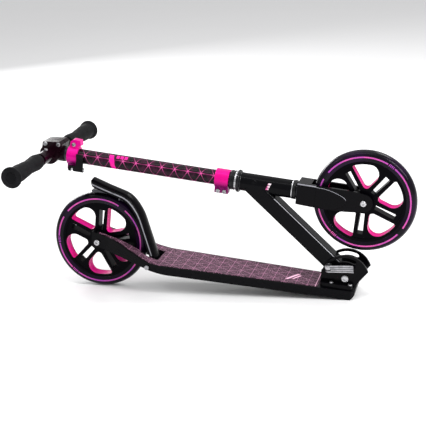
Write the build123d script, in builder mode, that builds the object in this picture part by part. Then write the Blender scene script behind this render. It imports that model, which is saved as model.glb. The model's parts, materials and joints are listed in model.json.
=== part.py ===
"""Folding kick scooter with two large wheels, shown folded.

The stem lies back over the deck and the deck stands nose down: its front
edge and the rear wheel touch the ground.

Row frame: X runs along the scooter, +X to the front wheel; +Y is the side
away from the fold lever; +Z is up. The origin is on the ground under the
middle of the folded scooter.

Three working frames carry the sizes:
  deck frame   x forwards along the deck, z square to it, zero at the rear axle
  stem frame   s along the steering axis from the front axle to the handlebar,
               t square to it towards the front of the ridden scooter
  wheel frame  r and angle about an axle
"""
from build123d import *
from math import asin, atan2, cos, degrees, hypot, radians, sin
import os

os.makedirs("parts", exist_ok=True)

# ---------------------------------------------------------------- clearances
FIT = 0.05            # running fit of a shaft in its bore, radial
FREE = 0.3            # free gap between pieces that move past each other
SEAT = 0.1            # flat gap between stacked faces that turn on each other

# -------------------------------------------------------------------- wheels
WHEEL_R = 107.5       # tyre radius
TYRE_W = 30.0         # tyre width
TYRE_SHOULDER_R = 97.0
BEAD_R = 86.0         # tyre seat on the rim
BEAD_RIB_H = 3.5      # rib that keys the tyre to the rim
BEAD_RIB_W = 12.0
RIM_W = 27.0          # width of the rim ring and of the hub
SPOKE_W = 24.0        # width of the spokes
OPENING_R = 80.0      # outer edge of the openings
HUB_R = 21.0
SPOKES = 5
SLOT_IN_R = 25.0      # slot inside each double spoke
SLOT_OUT_R = 70.0
SLOT_IN_W = 9.0
SLOT_OUT_W = 12.0
ARM_W = 8.5           # width of each arm of a double spoke
OPENING_SWEEP_R = 20.0
OPENING_HUB_R = 8.0
OPENING_TIP_R = 4.0
HUB_HOLE_R = 1.6
HUB_HOLE_PCR = 16.2
REAR_SPOKE_ANGLE = 87.6
FRONT_SPOKE_ANGLE = 51.8

BEARING_R = 11.0      # 608 bearing: 22 x 8 x 7
BEARING_W = 7.0
AXLE_R = 4.0
AXLE_HEAD_R = 6.5
AXLE_HEAD_H = 4.5
AXLE_SPACER_R = 6.5
DROPOUT_GAP = 36.0    # between the plates that hold a wheel

# ---------------------------------------------------------------------- deck
DECK_TOP = -22.0      # deck top below the rear axle
DECK_H = 19.0
DECK_FRONT = 566.0    # front end of the extrusion
DECK_REAR_W = 122.0
DECK_FRONT_W = 88.0
DECK_WIDEST = 132.0   # where the rear arms start to draw in
DECK_WALL = 3.0
DECK_SIDE_WALL = 4.5
DECK_RIBS = 3
DECK_EDGE_R = 2.0
ARM_TIP = 13.0        # arm beyond the rear axle
ARM_TOP = 24.0        # arm top above the rear axle
ARM_KNEE_X = 52.0
ARM_KNEE_Z = 9.0
ARM_STRAIGHT = 20.0   # arms run parallel up to here
ARM_T = 12.0          # thickness of an arm at the axle
ARM_END_R = 11.0
SLOT_FRONT = 139.2    # front end of the wheel slot
FENDER_SLOT_W = 54.0
FENDER_SLOT_REAR = 104.0
CAP_T = 7.0
CAP_CHAMFER = 6.0

TAPE_T = 1.0
TAPE_INSET = 4.0
TAPE_FRONT = 495.0
TAPE_REAR = 2.0
TAPE_MARGIN = 1.3     # tape in front of the slot

# ------------------------------------------------------------- fold bracket
PIVOT_X = 548.5       # fold pivot in the deck frame
PIVOT_Z = -2.0
PLATE_R = 51.0
PLATE_T = 5.0
NECK_W = 38.0
NECK_SIDE_GAP = 0.5
FOOT_REAR = 499.0
FOOT_W = 78.0
FOOT_H = 9.5
PLATE_BACK = 51.0     # plate behind the pivot
PLATE_LEAN = 18.0     # plate foot in front of the pivot
SKEWER_R = 4.0
SKEWER_PITCH = 41.0   # skewer from the pivot
SKEWER_FOLDED = 149.0 # its angle about the pivot when folded
SKEWER_SLOT_GAP = 0.4
SCREW_R = 4.6
SCREW_H = 3.0
SCREW_SHANK_R = 2.5
SCREW_DEPTH = 6.0     # shank below the deck top
SCREW_INSET = 23.0    # first screw from the rear of the foot
SCREW_PITCH = 39.0
SCREW_EDGE = 6.5      # screws from the side of the foot
PIVOT_HEAD_R = 7.8
PIVOT_HEAD_H = 5.0
BUSH_R = 7.0

# ---------------------------------------------------------------------- neck
NECK_D = 34.0         # depth of the box section
NECK_WALL = 2.5
NECK_DROP = 38.5      # slope of the neck against the deck when folded
NECK_EDGE_R = 5.0
HEAD_R = 19.5
HEAD_BORE_R = 16.0
HEAD_LOW = 152.5      # along the stem from the front axle
HEAD_HIGH = 261.5
CUP_LOW_R = 20.5
CUP_LOW_H = 10.0
CUP_HIGH_R = 24.0
CUP_HIGH_H = 11.0
CUP_SKIRT = 8.0
HEAD_BEARING_R = 18.0
HEAD_BEARING_W = 7.0
COLLAR_R = 21.0
COLLAR_H = 13.0

# ---------------------------------------------------------------------- stem
FRONT_AXLE_X = 570.5  # front axle in the deck frame, folded
FRONT_AXLE_Z = 165.9
STEM_SLOPE = 1.55     # rise of the stem to the handlebar against the deck
STEERER_R = 14.0
STEERER_WALL = 2.5
STEERER_TOP = 350.0
STEM_R = 16.0
STEM_WALL = 1.9
STEM_TOP = 652.0
LOW_CLAMP_H = 30.0
LOW_CLAMP_R = 20.5
TOP_CLAMP_S = 627.0
TOP_CLAMP_H = 24.0
TOP_CLAMP_R = 20.5
STOP_LOBE = 37.0      # lobe on the upper clamp, from the stem axis
STOP_LOBE_W = 16.0
STOP_BOLT_S = 11.0    # its bolt from the clamp's lower edge
STOP_BOLT_T = 26.0
BOLT_HEAD_R = 4.5     # small clamp bolts
BOLT_HEAD_H = 3.8
TUBE_SLIT_L = 44.0    # saw cuts that let the tube ends close under the clamps
EAR_REACH = 31.0      # clamp ears from the stem axis
EAR_T = 7.0
CLAMP_SLIT = 4.0
CLAMP_BOLT_T = 26.0   # clamp bolts from the stem axis
CLAMP_BOLT_R = 2.5
BUSH_H = 26.0         # plastic bush between stem tube and mast

# ---------------------------------------------------------------------- fork
CROWN_LOW = 100.0     # lower edge of the crown from the front axle
CROWN_HIGH = 139.0
CROWN_W = 57.0
CROWN_BACK = 23.5
CROWN_FRONT = 22.5
TYRE_GAP = 4.0
BLADE_T = 6.5
BLADE_END_R = 19.0
BLADE_TOP = 22.0
BLADE_BELLY = 25.0
PANEL_T = 3.0
PANEL_END = 35.0      # raised panel stops short of the axle
PANEL_ROUND = 2.2     # rounding of the panel's outer edge

# ---------------------------------------------------------- quick releases
LEVER_T = 3.2
LEVER_PIN_R = 2.0
PIN_WALL = 0.6        # skewer beyond its cam pin
CUP_WASHER_T = 3.0
CUP_WASHER_R = 8.5
FOLD_CAM_R = 6.0
FOLD_LEVER_L = 53.0
FOLD_LEVER_H = 15.0
FOLD_LEVER_TILT = 8.0
TOP_SKEWER_R = 2.5
TOP_CAM_R = 5.2
TOP_NUT_R = 5.0
TOP_LEVER_L = 36.0
TOP_LEVER_H = 16.0

# ----------------------------------------------------------------- handlebar
BAR_S = 689.0         # crossbar along the stem
BAR_W = 444.0
BAR_R = 11.0
BAR_WALL = 1.8
MAST_R = 13.4         # telescopic mast inside the stem tube
MAST_WALL = 1.8
MAST_LOW = 353.0
SOCKET_R = 17.0
SOCKET_S = 659.0
BLOCK_R = 22.0
BLOCK_W = 46.0
BLOCK_NOSE = 31.0     # bolt ears of the block in front of the bar
BLOCK_BOLT_T = 25.0
SLEEVE_R = 14.0
SLEEVE_W = 150.0
GRIP_L = 138.0
GRIP_R = 15.8
GRIP_WAIST_R = 14.4
FLANGE_R = 22.5
INNER_FLANGE_R = 19.5
FLANGE_T = 4.0
END_PLUG_T = 3.0
BUTTON_R = 3.5
BUTTON_STAND = 3.0
BUTTON_Y = 40.0
BUTTON_ROOT = 4.0     # button below the inner wall of the bar tube

# ---------------------------------------------------------------- foot brake
FENDER_T = 3.5
FENDER_W = 48.0
FENDER_FALL = 13.0    # edge of the arch below its crown
FENDER_TAIL_R = 19.0  # corners of its tail, seen from above
FENDER_PIVOT_X = 125.5
FENDER_PIVOT_Z = -29.0
FENDER_PIN_R = 3.0
FENDER_HEAD_R = 5.0
FENDER_HEAD_H = 3.0
FENDER_LUG_R = 8.0
FENDER_LUG_T = 4.5
FENDER_WEB = 6.0      # web between each lug and the crown
PAD_GAP = 4.0         # brake pad above the tyre
PAD_T = 5.0
PAD_FROM = 62.0       # brake pad between these angles about the rear axle
PAD_TO = 100.0
RIVET_R = 2.2
RIVET_ANGLE = 66.0
RIVET_IN = 10.0
RIVET_STAND = 1.0
SPRING_WIRE_R = 1.0
SPRING_TURNS = 6

# ================================================================== frames
deck_bottom = DECK_TOP - DECK_H
pitch = degrees(asin(WHEEL_R / hypot(DECK_FRONT, deck_bottom))
                - atan2(-deck_bottom, DECK_FRONT))
deck_x_dir = Vector(cos(radians(pitch)), 0, -sin(radians(pitch)))
deck_z_dir = Vector(sin(radians(pitch)), 0, cos(radians(pitch)))
stem_angle = radians(STEM_SLOPE)
stem_s_dir = deck_z_dir * sin(stem_angle) - deck_x_dir * cos(stem_angle)
stem_t_dir = deck_z_dir * cos(stem_angle) + deck_x_dir * sin(stem_angle)


def from_axle(x, z):
    """Vector from the rear axle to a point given in the deck frame."""
    return deck_x_dir * x + deck_z_dir * z


front_from_rear = from_axle(FRONT_AXLE_X, FRONT_AXLE_Z)
bar_from_rear = front_from_rear + stem_s_dir * BAR_S
front_most = front_from_rear.X + WHEEL_R
rear_most = bar_from_rear.X - FLANGE_R
rear_axle = Vector(-(front_most + rear_most) / 2, 0, WHEEL_R)
front_axle = rear_axle + front_from_rear
pivot = rear_axle + from_axle(PIVOT_X, PIVOT_Z)

deck_side = Plane(origin=rear_axle, x_dir=deck_x_dir, z_dir=(0, -1, 0))
deck_plan = Plane(origin=rear_axle, x_dir=deck_x_dir, z_dir=deck_z_dir)
deck_cross = Plane(origin=rear_axle, x_dir=(0, 1, 0), z_dir=deck_x_dir)
stem_side = Plane(origin=front_axle, x_dir=stem_s_dir, z_dir=(0, 1, 0))
stem_axis = Axis(front_axle, stem_s_dir)


def side_at(y):
    """Deck side plane shifted to the given Y; its normal points to -Y."""
    return deck_side.offset(-y)


def plan_at(z):
    """Deck plan plane at height z of the deck frame."""
    return deck_plan.offset(z)


def stem_at(s):
    """Plane square to the stem at s; local x is t and local y is +Y."""
    return Plane(origin=front_axle + stem_s_dir * s, x_dir=stem_t_dir, z_dir=stem_s_dir)


def tube(plane, outer_r, inner_r, length):
    """Round tube, or a rod when inner_r is 0, that grows along the plane's normal."""
    with BuildPart() as piece:
        with BuildSketch(plane):
            Circle(outer_r)
            if inner_r > 0:
                Circle(inner_r, mode=Mode.SUBTRACT)
        extrude(amount=length)
    return piece


def cross_rod(centre, r, y_from, y_to, bore=0.0):
    """Rod or tube along +Y between two Y values, at a point of the X-Z plane."""
    plane = Plane(origin=(centre.X, y_from, centre.Z), x_dir=(1, 0, 0), z_dir=(0, 1, 0))
    return tube(plane, r, bore, y_to - y_from)


def save(piece, name):
    """Label a finished piece and write it as one STEP file."""
    piece.part.label = name
    export_step(piece.part, f"parts/{name}.step")


# ==================================================================== deck
half_gap = DROPOUT_GAP / 2
arm_out = half_gap + ARM_T


def deck_top_line():
    """Top edge of deck and arms from the arm tip to the front, as a polyline with bends."""
    return FilletPolyline(
        (-ARM_TIP, ARM_TOP), (ARM_KNEE_X, ARM_KNEE_Z), (DECK_WIDEST, DECK_TOP),
        (DECK_FRONT, DECK_TOP), radius=110)


def deck_outline(inset, x_rear, x_front):
    """Plan outline of the deck, drawn in by the inset, between two x values."""
    slope = (DECK_FRONT_W - DECK_REAR_W) / 2 / (DECK_FRONT - DECK_WIDEST)
    front_y = DECK_REAR_W / 2 + slope * (x_front - DECK_WIDEST) - inset
    points = [
        (x_rear, arm_out - inset), (ARM_STRAIGHT, arm_out - inset),
        (DECK_WIDEST, DECK_REAR_W / 2 - inset), (x_front, front_y)]
    mirrored = [(x, -y) for x, y in reversed(points)]
    return points + mirrored


screw_x = (FOOT_REAR + SCREW_INSET, FOOT_REAR + SCREW_INSET + SCREW_PITCH)
screw_y = FOOT_W / 2 - SCREW_EDGE
with BuildPart() as deck:
    with BuildSketch(deck_side):
        with BuildLine():
            top = deck_top_line()
            front = Line(top @ 1, (DECK_FRONT, deck_bottom))
            under = FilletPolyline(
                front @ 1, (DECK_WIDEST + 28, deck_bottom), (2, -ARM_END_R), radius=120)
            tip = RadiusArc(under @ 1, (-ARM_TIP, 0), ARM_END_R + 2)
            Line(tip @ 1, top @ 0)
        make_face()
    extrude(amount=DECK_REAR_W / 2, both=True)
    with BuildSketch(plan_at(deck_bottom - 10)):
        Polygon(*deck_outline(0, -ARM_TIP, DECK_FRONT), align=None)
        fillet(vertices().sort_by(Axis(rear_axle, deck_x_dir))[2:6], radius=40)
    extrude(amount=90, mode=Mode.INTERSECT)
    # slot for the wheel, wider in front where the foot brake goes down
    with BuildSketch(plan_at(deck_bottom - 10)):
        with Locations((-ARM_TIP - 5, 0)):
            Rectangle(SLOT_FRONT + ARM_TIP + 5, DROPOUT_GAP, align=(Align.MIN, Align.CENTER))
        with Locations((FENDER_SLOT_REAR, 0)):
            Rectangle(SLOT_FRONT - FENDER_SLOT_REAR, FENDER_SLOT_W,
                      align=(Align.MIN, Align.CENTER))
    extrude(amount=90, mode=Mode.SUBTRACT)
    # channels of the extrusion, open below
    channel_rear = SLOT_FRONT + 12
    inner_w = DECK_FRONT_W - 2 * DECK_SIDE_WALL
    channel_w = (inner_w - (DECK_RIBS - 1) * DECK_WALL) / DECK_RIBS
    with BuildSketch(plan_at(deck_bottom - 1)):
        for row in range(DECK_RIBS):
            y = (row - (DECK_RIBS - 1) / 2) * (channel_w + DECK_WALL)
            with Locations((channel_rear, y)):
                Rectangle(DECK_FRONT + 10 - channel_rear, channel_w,
                          align=(Align.MIN, Align.CENTER))
    extrude(amount=DECK_H - DECK_WALL + 1, mode=Mode.SUBTRACT)
    # bores for the rear axle, the brake pin and the bracket screws
    for x, z, r in ((0, 0, AXLE_R), (FENDER_PIVOT_X, FENDER_PIVOT_Z, FENDER_PIN_R)):
        with BuildSketch(deck_side):
            with Locations((x, z)):
                Circle(r)
        extrude(amount=DECK_REAR_W, both=True, mode=Mode.SUBTRACT)
    with BuildSketch(plan_at(DECK_TOP - SCREW_DEPTH)):
        with Locations(*[(x, screw_y * side) for x in screw_x for side in (-1, 1)]):
            Circle(SCREW_SHANK_R)
    extrude(amount=SCREW_DEPTH, mode=Mode.SUBTRACT)
save(deck, "deck")

# Grip tape: a thin sheet that follows the deck top and runs up both arms.
with BuildPart() as grip_tape:
    with BuildSketch(deck_side):
        with BuildLine():
            low = deck_top_line()
            offset(low, TAPE_T, side=Side.LEFT, closed=True)
        make_face()
    extrude(amount=DECK_REAR_W / 2, both=True)
    with BuildSketch(plan_at(deck_bottom)):
        Polygon(*deck_outline(TAPE_INSET, TAPE_REAR, TAPE_FRONT), align=None)
        with Locations((-ARM_TIP, 0)):
            Rectangle(SLOT_FRONT + TAPE_MARGIN + ARM_TIP, DROPOUT_GAP + 4,
                      align=(Align.MIN, Align.CENTER), mode=Mode.SUBTRACT)
        with Locations((FENDER_SLOT_REAR - 5, 0)):
            Rectangle(SLOT_FRONT + TAPE_MARGIN + 5 - FENDER_SLOT_REAR, FENDER_SLOT_W + 4,
                      align=(Align.MIN, Align.CENTER), mode=Mode.SUBTRACT)
    extrude(amount=120, mode=Mode.INTERSECT)
save(grip_tape, "grip_tape")

# End cap over the front of the extrusion, leaning back towards its foot.
with BuildPart() as deck_end_cap:
    with BuildSketch(deck_side):
        Polygon((DECK_FRONT, DECK_TOP), (DECK_FRONT + CAP_T, DECK_TOP - 1),
                (DECK_FRONT + CAP_T, DECK_TOP - 9), (DECK_FRONT + 1.5, deck_bottom + 1.5),
                (DECK_FRONT, deck_bottom + 1.5), align=None)
    extrude(amount=DECK_FRONT_W / 2, both=True)
    with BuildSketch(plan_at(deck_bottom)):
        half = DECK_FRONT_W / 2
        Polygon((DECK_FRONT, -half), (DECK_FRONT, half),
                (DECK_FRONT + CAP_T, half - CAP_CHAMFER),
                (DECK_FRONT + CAP_T, CAP_CHAMFER - half), align=None)
    extrude(amount=DECK_H + 2, mode=Mode.INTERSECT)
save(deck_end_cap, "deck_end_cap")

# ============================================================ fold bracket
plate_in = NECK_W / 2 + NECK_SIDE_GAP
plate_out = plate_in + PLATE_T
slot_half = SKEWER_R + SKEWER_SLOT_GAP
# the fold angle brings both axles to one height with the deck level
axle_to_pivot = hypot(FRONT_AXLE_X - PIVOT_X, FRONT_AXLE_Z - PIVOT_Z)
fold_angle = degrees(atan2(FRONT_AXLE_Z - PIVOT_Z, FRONT_AXLE_X - PIVOT_X)
                     - asin(-PIVOT_Z / axle_to_pivot))


def around_pivot(r, angle):
    """Deck frame point at a radius and angle about the fold pivot."""
    return (PIVOT_X + r * cos(radians(angle)), PIVOT_Z + r * sin(radians(angle)))


def slot_end(angle, turn):
    """Outermost point of the skewer slot's round end."""
    return around_pivot(hypot(SKEWER_PITCH, slot_half), angle + turn * degrees(
        atan2(slot_half, SKEWER_PITCH)))


foot_top = DECK_TOP + FOOT_H
with BuildPart() as fold_bracket:
    with BuildSketch(deck_side):
        with Locations((PIVOT_X, PIVOT_Z)):
            Circle(PLATE_R)
        # everything of the disc behind the back edge and below the foot goes
        Polygon((PIVOT_X - PLATE_BACK, DECK_TOP), (PIVOT_X + PLATE_LEAN, DECK_TOP),
                (PIVOT_X + PLATE_R * 0.87, PIVOT_Z + PLATE_R * 0.5),
                (PIVOT_X, PIVOT_Z + PLATE_R), (PIVOT_X - PLATE_BACK, PIVOT_Z + 12), align=None)
        Polygon((PIVOT_X + PLATE_LEAN, DECK_TOP - 40),
                (PIVOT_X + PLATE_LEAN, DECK_TOP),
                (PIVOT_X + PLATE_R * 0.87 + 6, PIVOT_Z + PLATE_R * 0.5),
                (PIVOT_X + PLATE_R + 20, DECK_TOP - 40), align=None, mode=Mode.SUBTRACT)
        with Locations((PIVOT_X, DECK_TOP - 40)):
            Rectangle(3 * PLATE_R, 80, mode=Mode.SUBTRACT)
    extrude(amount=plate_out, both=True)
    # space for the neck
    with BuildSketch(deck_side):
        with Locations((PIVOT_X, foot_top + PLATE_R)):
            Rectangle(3 * PLATE_R, 2 * PLATE_R)
    extrude(amount=plate_in, both=True, mode=Mode.SUBTRACT)
    with BuildSketch(plan_at(DECK_TOP)):
        with Locations(((FOOT_REAR + PIVOT_X + PLATE_LEAN) / 2, 0)):
            RectangleRounded(PIVOT_X + PLATE_LEAN - FOOT_REAR, FOOT_W, 6)
    extrude(amount=FOOT_H)
    # the neck's round end turns in a trough of the foot
    with BuildSketch(deck_side):
        with Locations((PIVOT_X, PIVOT_Z)):
            Circle(NECK_D / 2 + 1.5)
    extrude(amount=plate_in, both=True, mode=Mode.SUBTRACT)
    # arc slot for the skewer, pivot bore and screw holes
    with BuildSketch(deck_side):
        with BuildLine():
            unfolded = SKEWER_FOLDED - fold_angle
            rim_arc = CenterArc((PIVOT_X, PIVOT_Z), SKEWER_PITCH + slot_half, unfolded, fold_angle)
            hub_arc = CenterArc((PIVOT_X, PIVOT_Z), SKEWER_PITCH - slot_half, unfolded, fold_angle)
            ThreePointArc(rim_arc @ 0, slot_end(unfolded, -1), hub_arc @ 0)
            ThreePointArc(rim_arc @ 1, slot_end(SKEWER_FOLDED, 1), hub_arc @ 1)
        make_face()
        with Locations((PIVOT_X, PIVOT_Z)):
            Circle(AXLE_R)
    extrude(amount=FOOT_W, both=True, mode=Mode.SUBTRACT)
    with BuildSketch(plan_at(DECK_TOP - 1)):
        with Locations(*[(x, screw_y * side) for x in screw_x for side in (-1, 1)]):
            Circle(SCREW_SHANK_R)
    extrude(amount=FOOT_H + 2, mode=Mode.SUBTRACT)
save(fold_bracket, "fold_bracket")

with BuildPart() as bracket_screws:
    with BuildSketch(plan_at(DECK_TOP - DECK_WALL - 2)):
        with Locations(*[(x, screw_y * side) for x in screw_x for side in (-1, 1)]):
            Circle(SCREW_SHANK_R)
    extrude(amount=DECK_WALL + 2 + FOOT_H)
    with BuildSketch(plan_at(foot_top)):
        with Locations(*[(x, screw_y * side) for x in screw_x for side in (-1, 1)]):
            Circle(SCREW_R)
            RegularPolygon(1.8, 6, mode=Mode.SUBTRACT)
    extrude(amount=SCREW_H)
save(bracket_screws, "bracket_screws")


def hex_bolt(centre, y_head, y_end, shank_r, head_r, head_h):
    """Button head bolt with a hex socket; the head stands on -Y, the shank runs to y_end."""
    plane = Plane(origin=(centre.X, y_head, centre.Z), x_dir=(1, 0, 0), z_dir=(0, -1, 0))
    with BuildPart() as bolt:
        with BuildSketch(plane):
            Circle(head_r)
        extrude(amount=head_h)
        fillet(edges().group_by(Axis.Y)[0], radius=head_h * 0.45)
        with BuildSketch(plane.offset(head_h)):
            RegularPolygon(head_r * 0.45, 6)
        extrude(amount=-head_h * 0.6, mode=Mode.SUBTRACT)
        with BuildSketch(plane):
            Circle(shank_r)
        extrude(amount=-(y_end - y_head))
    return bolt


def cap_nut(centre, y_face, shank_r, head_r, head_h, shank_end):
    """Button nut on the +Y side, bored for the shank that ends inside it."""
    plane = Plane(origin=(centre.X, y_face, centre.Z), x_dir=(1, 0, 0), z_dir=(0, 1, 0))
    with BuildPart() as nut:
        with BuildSketch(plane):
            Circle(head_r)
        extrude(amount=head_h)
        fillet(edges().group_by(Axis.Y)[-1], radius=head_h * 0.45)
        with BuildSketch(plane):
            Circle(shank_r)
        extrude(amount=shank_end - y_face, mode=Mode.SUBTRACT)
    return nut


NUT_GRIP = 3.0        # shank length inside a cap nut
save(hex_bolt(pivot, -plate_out, plate_out + NUT_GRIP, AXLE_R, PIVOT_HEAD_R, PIVOT_HEAD_H),
     "fold_pivot_bolt")
save(cap_nut(pivot, plate_out, AXLE_R, PIVOT_HEAD_R, PIVOT_HEAD_H, plate_out + NUT_GRIP),
     "fold_pivot_nut")

# ================================================================== wheels


def wheel_plane(axle, angle):
    """Plane of a wheel; local x points along one double spoke and the normal to -Y."""
    along_spoke = from_axle(cos(radians(angle)), sin(radians(angle)))
    return Plane(origin=axle, x_dir=along_spoke, z_dir=(0, -1, 0))


def polar(r, angle):
    """Point at a radius and an angle in degrees."""
    return (r * cos(radians(angle)), r * sin(radians(angle)))


def draw_opening():
    """Opening between the spoke along x and the next one: a straight and a swept side."""
    step = 360 / SPOKES
    arm_edge = (SLOT_IN_W + SLOT_OUT_W) / 4 + ARM_W
    reach = 2 * OPENING_R
    far_x, far_y = polar(reach, step)
    hub_corner = polar(arm_edge / sin(radians(step / 2)), step / 2)
    Circle(OPENING_R)
    Polygon(hub_corner, (reach, arm_edge),
            (far_x + arm_edge * sin(radians(step)), far_y - arm_edge * cos(radians(step))),
            align=None, mode=Mode.INTERSECT)
    at_hub, *at_ring = vertices().sort_by(lambda v: hypot(v.X, v.Y))
    swept, tip = sorted(at_ring, key=lambda v: atan2(v.Y, v.X))
    fillet(swept, radius=OPENING_SWEEP_R)
    fillet(vertices().sort_by(lambda v: hypot(v.X, v.Y))[0], radius=OPENING_HUB_R)
    fillet(max(vertices(), key=lambda v: atan2(v.Y, v.X)), radius=OPENING_TIP_R)


def make_rim(axle, angle):
    """Cast rim: hub, five double spokes with a slot each, ring and tyre rib."""
    plane = wheel_plane(axle, angle)
    step = 360 / SPOKES
    with BuildPart() as rim:
        for r, width in ((BEAD_R + BEAD_RIB_H, BEAD_RIB_W), (BEAD_R, RIM_W)):
            with BuildSketch(plane):
                Circle(r)
            extrude(amount=width / 2, both=True)
        # faces of the spokes lie below the ring and the hub
        with BuildSketch(plane.offset(SPOKE_W / 2)):
            Circle(OPENING_R)
            Circle(HUB_R, mode=Mode.SUBTRACT)
        extrude(amount=RIM_W, mode=Mode.SUBTRACT)
        with BuildSketch(plane.offset(-SPOKE_W / 2)):
            Circle(OPENING_R)
            Circle(HUB_R, mode=Mode.SUBTRACT)
        extrude(amount=-RIM_W, mode=Mode.SUBTRACT)
        for spoke in range(SPOKES):
            with BuildSketch(wheel_plane(axle, angle + spoke * step)):
                draw_opening()
            extrude(amount=RIM_W, both=True, mode=Mode.SUBTRACT)
        with BuildSketch(plane):
            with PolarLocations(0, SPOKES):
                Polygon((SLOT_IN_R, -SLOT_IN_W / 2), (SLOT_OUT_R, -SLOT_OUT_W / 2),
                        (SLOT_OUT_R, SLOT_OUT_W / 2), (SLOT_IN_R, SLOT_IN_W / 2), align=None)
            with PolarLocations(HUB_HOLE_PCR, SPOKES, start_angle=step / 2):
                Circle(HUB_HOLE_R)
        extrude(amount=RIM_W, both=True, mode=Mode.SUBTRACT)
        # bearing seats and the bore between them
        for side in (-1, 1):
            with BuildSketch(plane.offset(side * RIM_W / 2)):
                Circle(BEARING_R)
            extrude(amount=-side * BEARING_W, mode=Mode.SUBTRACT)
        with BuildSketch(plane):
            Circle(BEARING_R - 2)
        extrude(amount=RIM_W, both=True, mode=Mode.SUBTRACT)
    return rim


def make_tyre(axle):
    """Solid tyre with flat sides, a round crown and a groove for the rim's rib."""
    half = TYRE_W / 2
    section_plane = Plane(origin=axle, x_dir=(0, 0, 1), z_dir=(1, 0, 0))
    with BuildPart() as tyre:
        with BuildSketch(section_plane):
            with BuildLine():
                Polyline((BEAD_R, -half + 1), (TYRE_SHOULDER_R, -half))
                ThreePointArc((TYRE_SHOULDER_R, -half), (WHEEL_R, 0), (TYRE_SHOULDER_R, half))
                Polyline(
                    (TYRE_SHOULDER_R, half), (BEAD_R, half - 1), (BEAD_R, BEAD_RIB_W / 2),
                    (BEAD_R + BEAD_RIB_H, BEAD_RIB_W / 2), (BEAD_R + BEAD_RIB_H, -BEAD_RIB_W / 2),
                    (BEAD_R, -BEAD_RIB_W / 2), (BEAD_R, -half + 1))
            make_face()
        revolve(axis=Axis(axle, (0, 1, 0)))
    return tyre


def make_bearings(axle):
    """Two ball bearings, one in each face of the hub, as plain rings."""
    outer_face = RIM_W / 2
    with BuildPart() as pair:
        for y in (-outer_face, outer_face - BEARING_W):
            plane = Plane(origin=(axle.X, y, axle.Z), x_dir=(1, 0, 0), z_dir=(0, 1, 0))
            with BuildSketch(plane):
                Circle(BEARING_R)
                Circle(AXLE_R + FIT, mode=Mode.SUBTRACT)
            extrude(amount=BEARING_W)
    return pair


def make_axle_spacers(axle):
    """Sleeves on the axle between the bearings and the plates."""
    with BuildPart() as pair:
        for y in (-DROPOUT_GAP / 2, RIM_W / 2 + SEAT):
            plane = Plane(origin=(axle.X, y, axle.Z), x_dir=(1, 0, 0), z_dir=(0, 1, 0))
            with BuildSketch(plane):
                Circle(AXLE_SPACER_R)
                Circle(AXLE_R, mode=Mode.SUBTRACT)
            extrude(amount=DROPOUT_GAP / 2 - RIM_W / 2 - SEAT)
    return pair


blade_out = half_gap + BLADE_T
for end, axle, angle, plate_face in (
        ("rear", rear_axle, REAR_SPOKE_ANGLE, arm_out),
        ("front", front_axle, FRONT_SPOKE_ANGLE, blade_out)):
    save(make_rim(axle, angle), f"{end}_rim")
    save(make_tyre(axle), f"{end}_tyre")
    save(make_bearings(axle), f"{end}_bearings")
    save(make_axle_spacers(axle), f"{end}_axle_spacers")
    inner_end = RIM_W / 2 - BEARING_W
    save(cross_rod(axle, BEARING_R - 4, -inner_end, inner_end, AXLE_R + FIT),
         f"{end}_bearing_spacer")
    save(hex_bolt(axle, -plate_face, plate_face + NUT_GRIP, AXLE_R, AXLE_HEAD_R, AXLE_HEAD_H),
         f"{end}_axle_bolt")
    save(cap_nut(axle, plate_face, AXLE_R, AXLE_HEAD_R, AXLE_HEAD_H, plate_face + NUT_GRIP),
         f"{end}_axle_nut")

# ==================================================================== neck
neck_dir = from_axle(-cos(radians(NECK_DROP)), sin(radians(NECK_DROP)))
neck_length = ((front_axle - pivot).cross(stem_s_dir).length
               / neck_dir.cross(stem_s_dir).length)
skewer_x, skewer_z = around_pivot(SKEWER_PITCH, SKEWER_FOLDED)
skewer_at = rear_axle + from_axle(skewer_x, skewer_z)


def neck_at(distance):
    """Plane square to the neck at a distance from the pivot; local x is +Y."""
    return Plane(origin=pivot + neck_dir * distance, x_dir=(0, 1, 0), z_dir=neck_dir)


def along_y(centre):
    """Plane through a point of the middle plane whose normal is +Y."""
    return Plane(origin=centre, x_dir=(1, 0, 0), z_dir=(0, 1, 0))


knuckle_l = NECK_D / 2 + 8
with BuildPart() as neck:
    with BuildSketch(neck_at(0)):
        RectangleRounded(NECK_W, NECK_D, NECK_EDGE_R)
    extrude(amount=neck_length)
    with BuildSketch(neck_at(0)):
        Rectangle(NECK_W, NECK_D)
    extrude(amount=knuckle_l)
    with BuildSketch(along_y(pivot)):
        Circle(NECK_D / 2)
    extrude(amount=NECK_W / 2, both=True)
    with BuildSketch(neck_at(knuckle_l)):
        RectangleRounded(NECK_W - 2 * NECK_WALL, NECK_D - 2 * NECK_WALL, NECK_EDGE_R - NECK_WALL)
    extrude(amount=neck_length - knuckle_l, mode=Mode.SUBTRACT)
    with BuildSketch(stem_at(HEAD_LOW)):
        Circle(HEAD_R)
    extrude(amount=HEAD_HIGH - HEAD_LOW)
    with BuildSketch(stem_at(HEAD_LOW)):
        Circle(HEAD_BORE_R)
    extrude(amount=HEAD_HIGH - HEAD_LOW, mode=Mode.SUBTRACT)
    for centre, r in ((pivot, BUSH_R), (skewer_at, SKEWER_R)):
        with BuildSketch(along_y(centre)):
            Circle(r)
        extrude(amount=NECK_W, both=True, mode=Mode.SUBTRACT)
save(neck, "neck")
save(cross_rod(pivot, BUSH_R, -NECK_W / 2, NECK_W / 2, AXLE_R + FIT), "pivot_bush")


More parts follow.
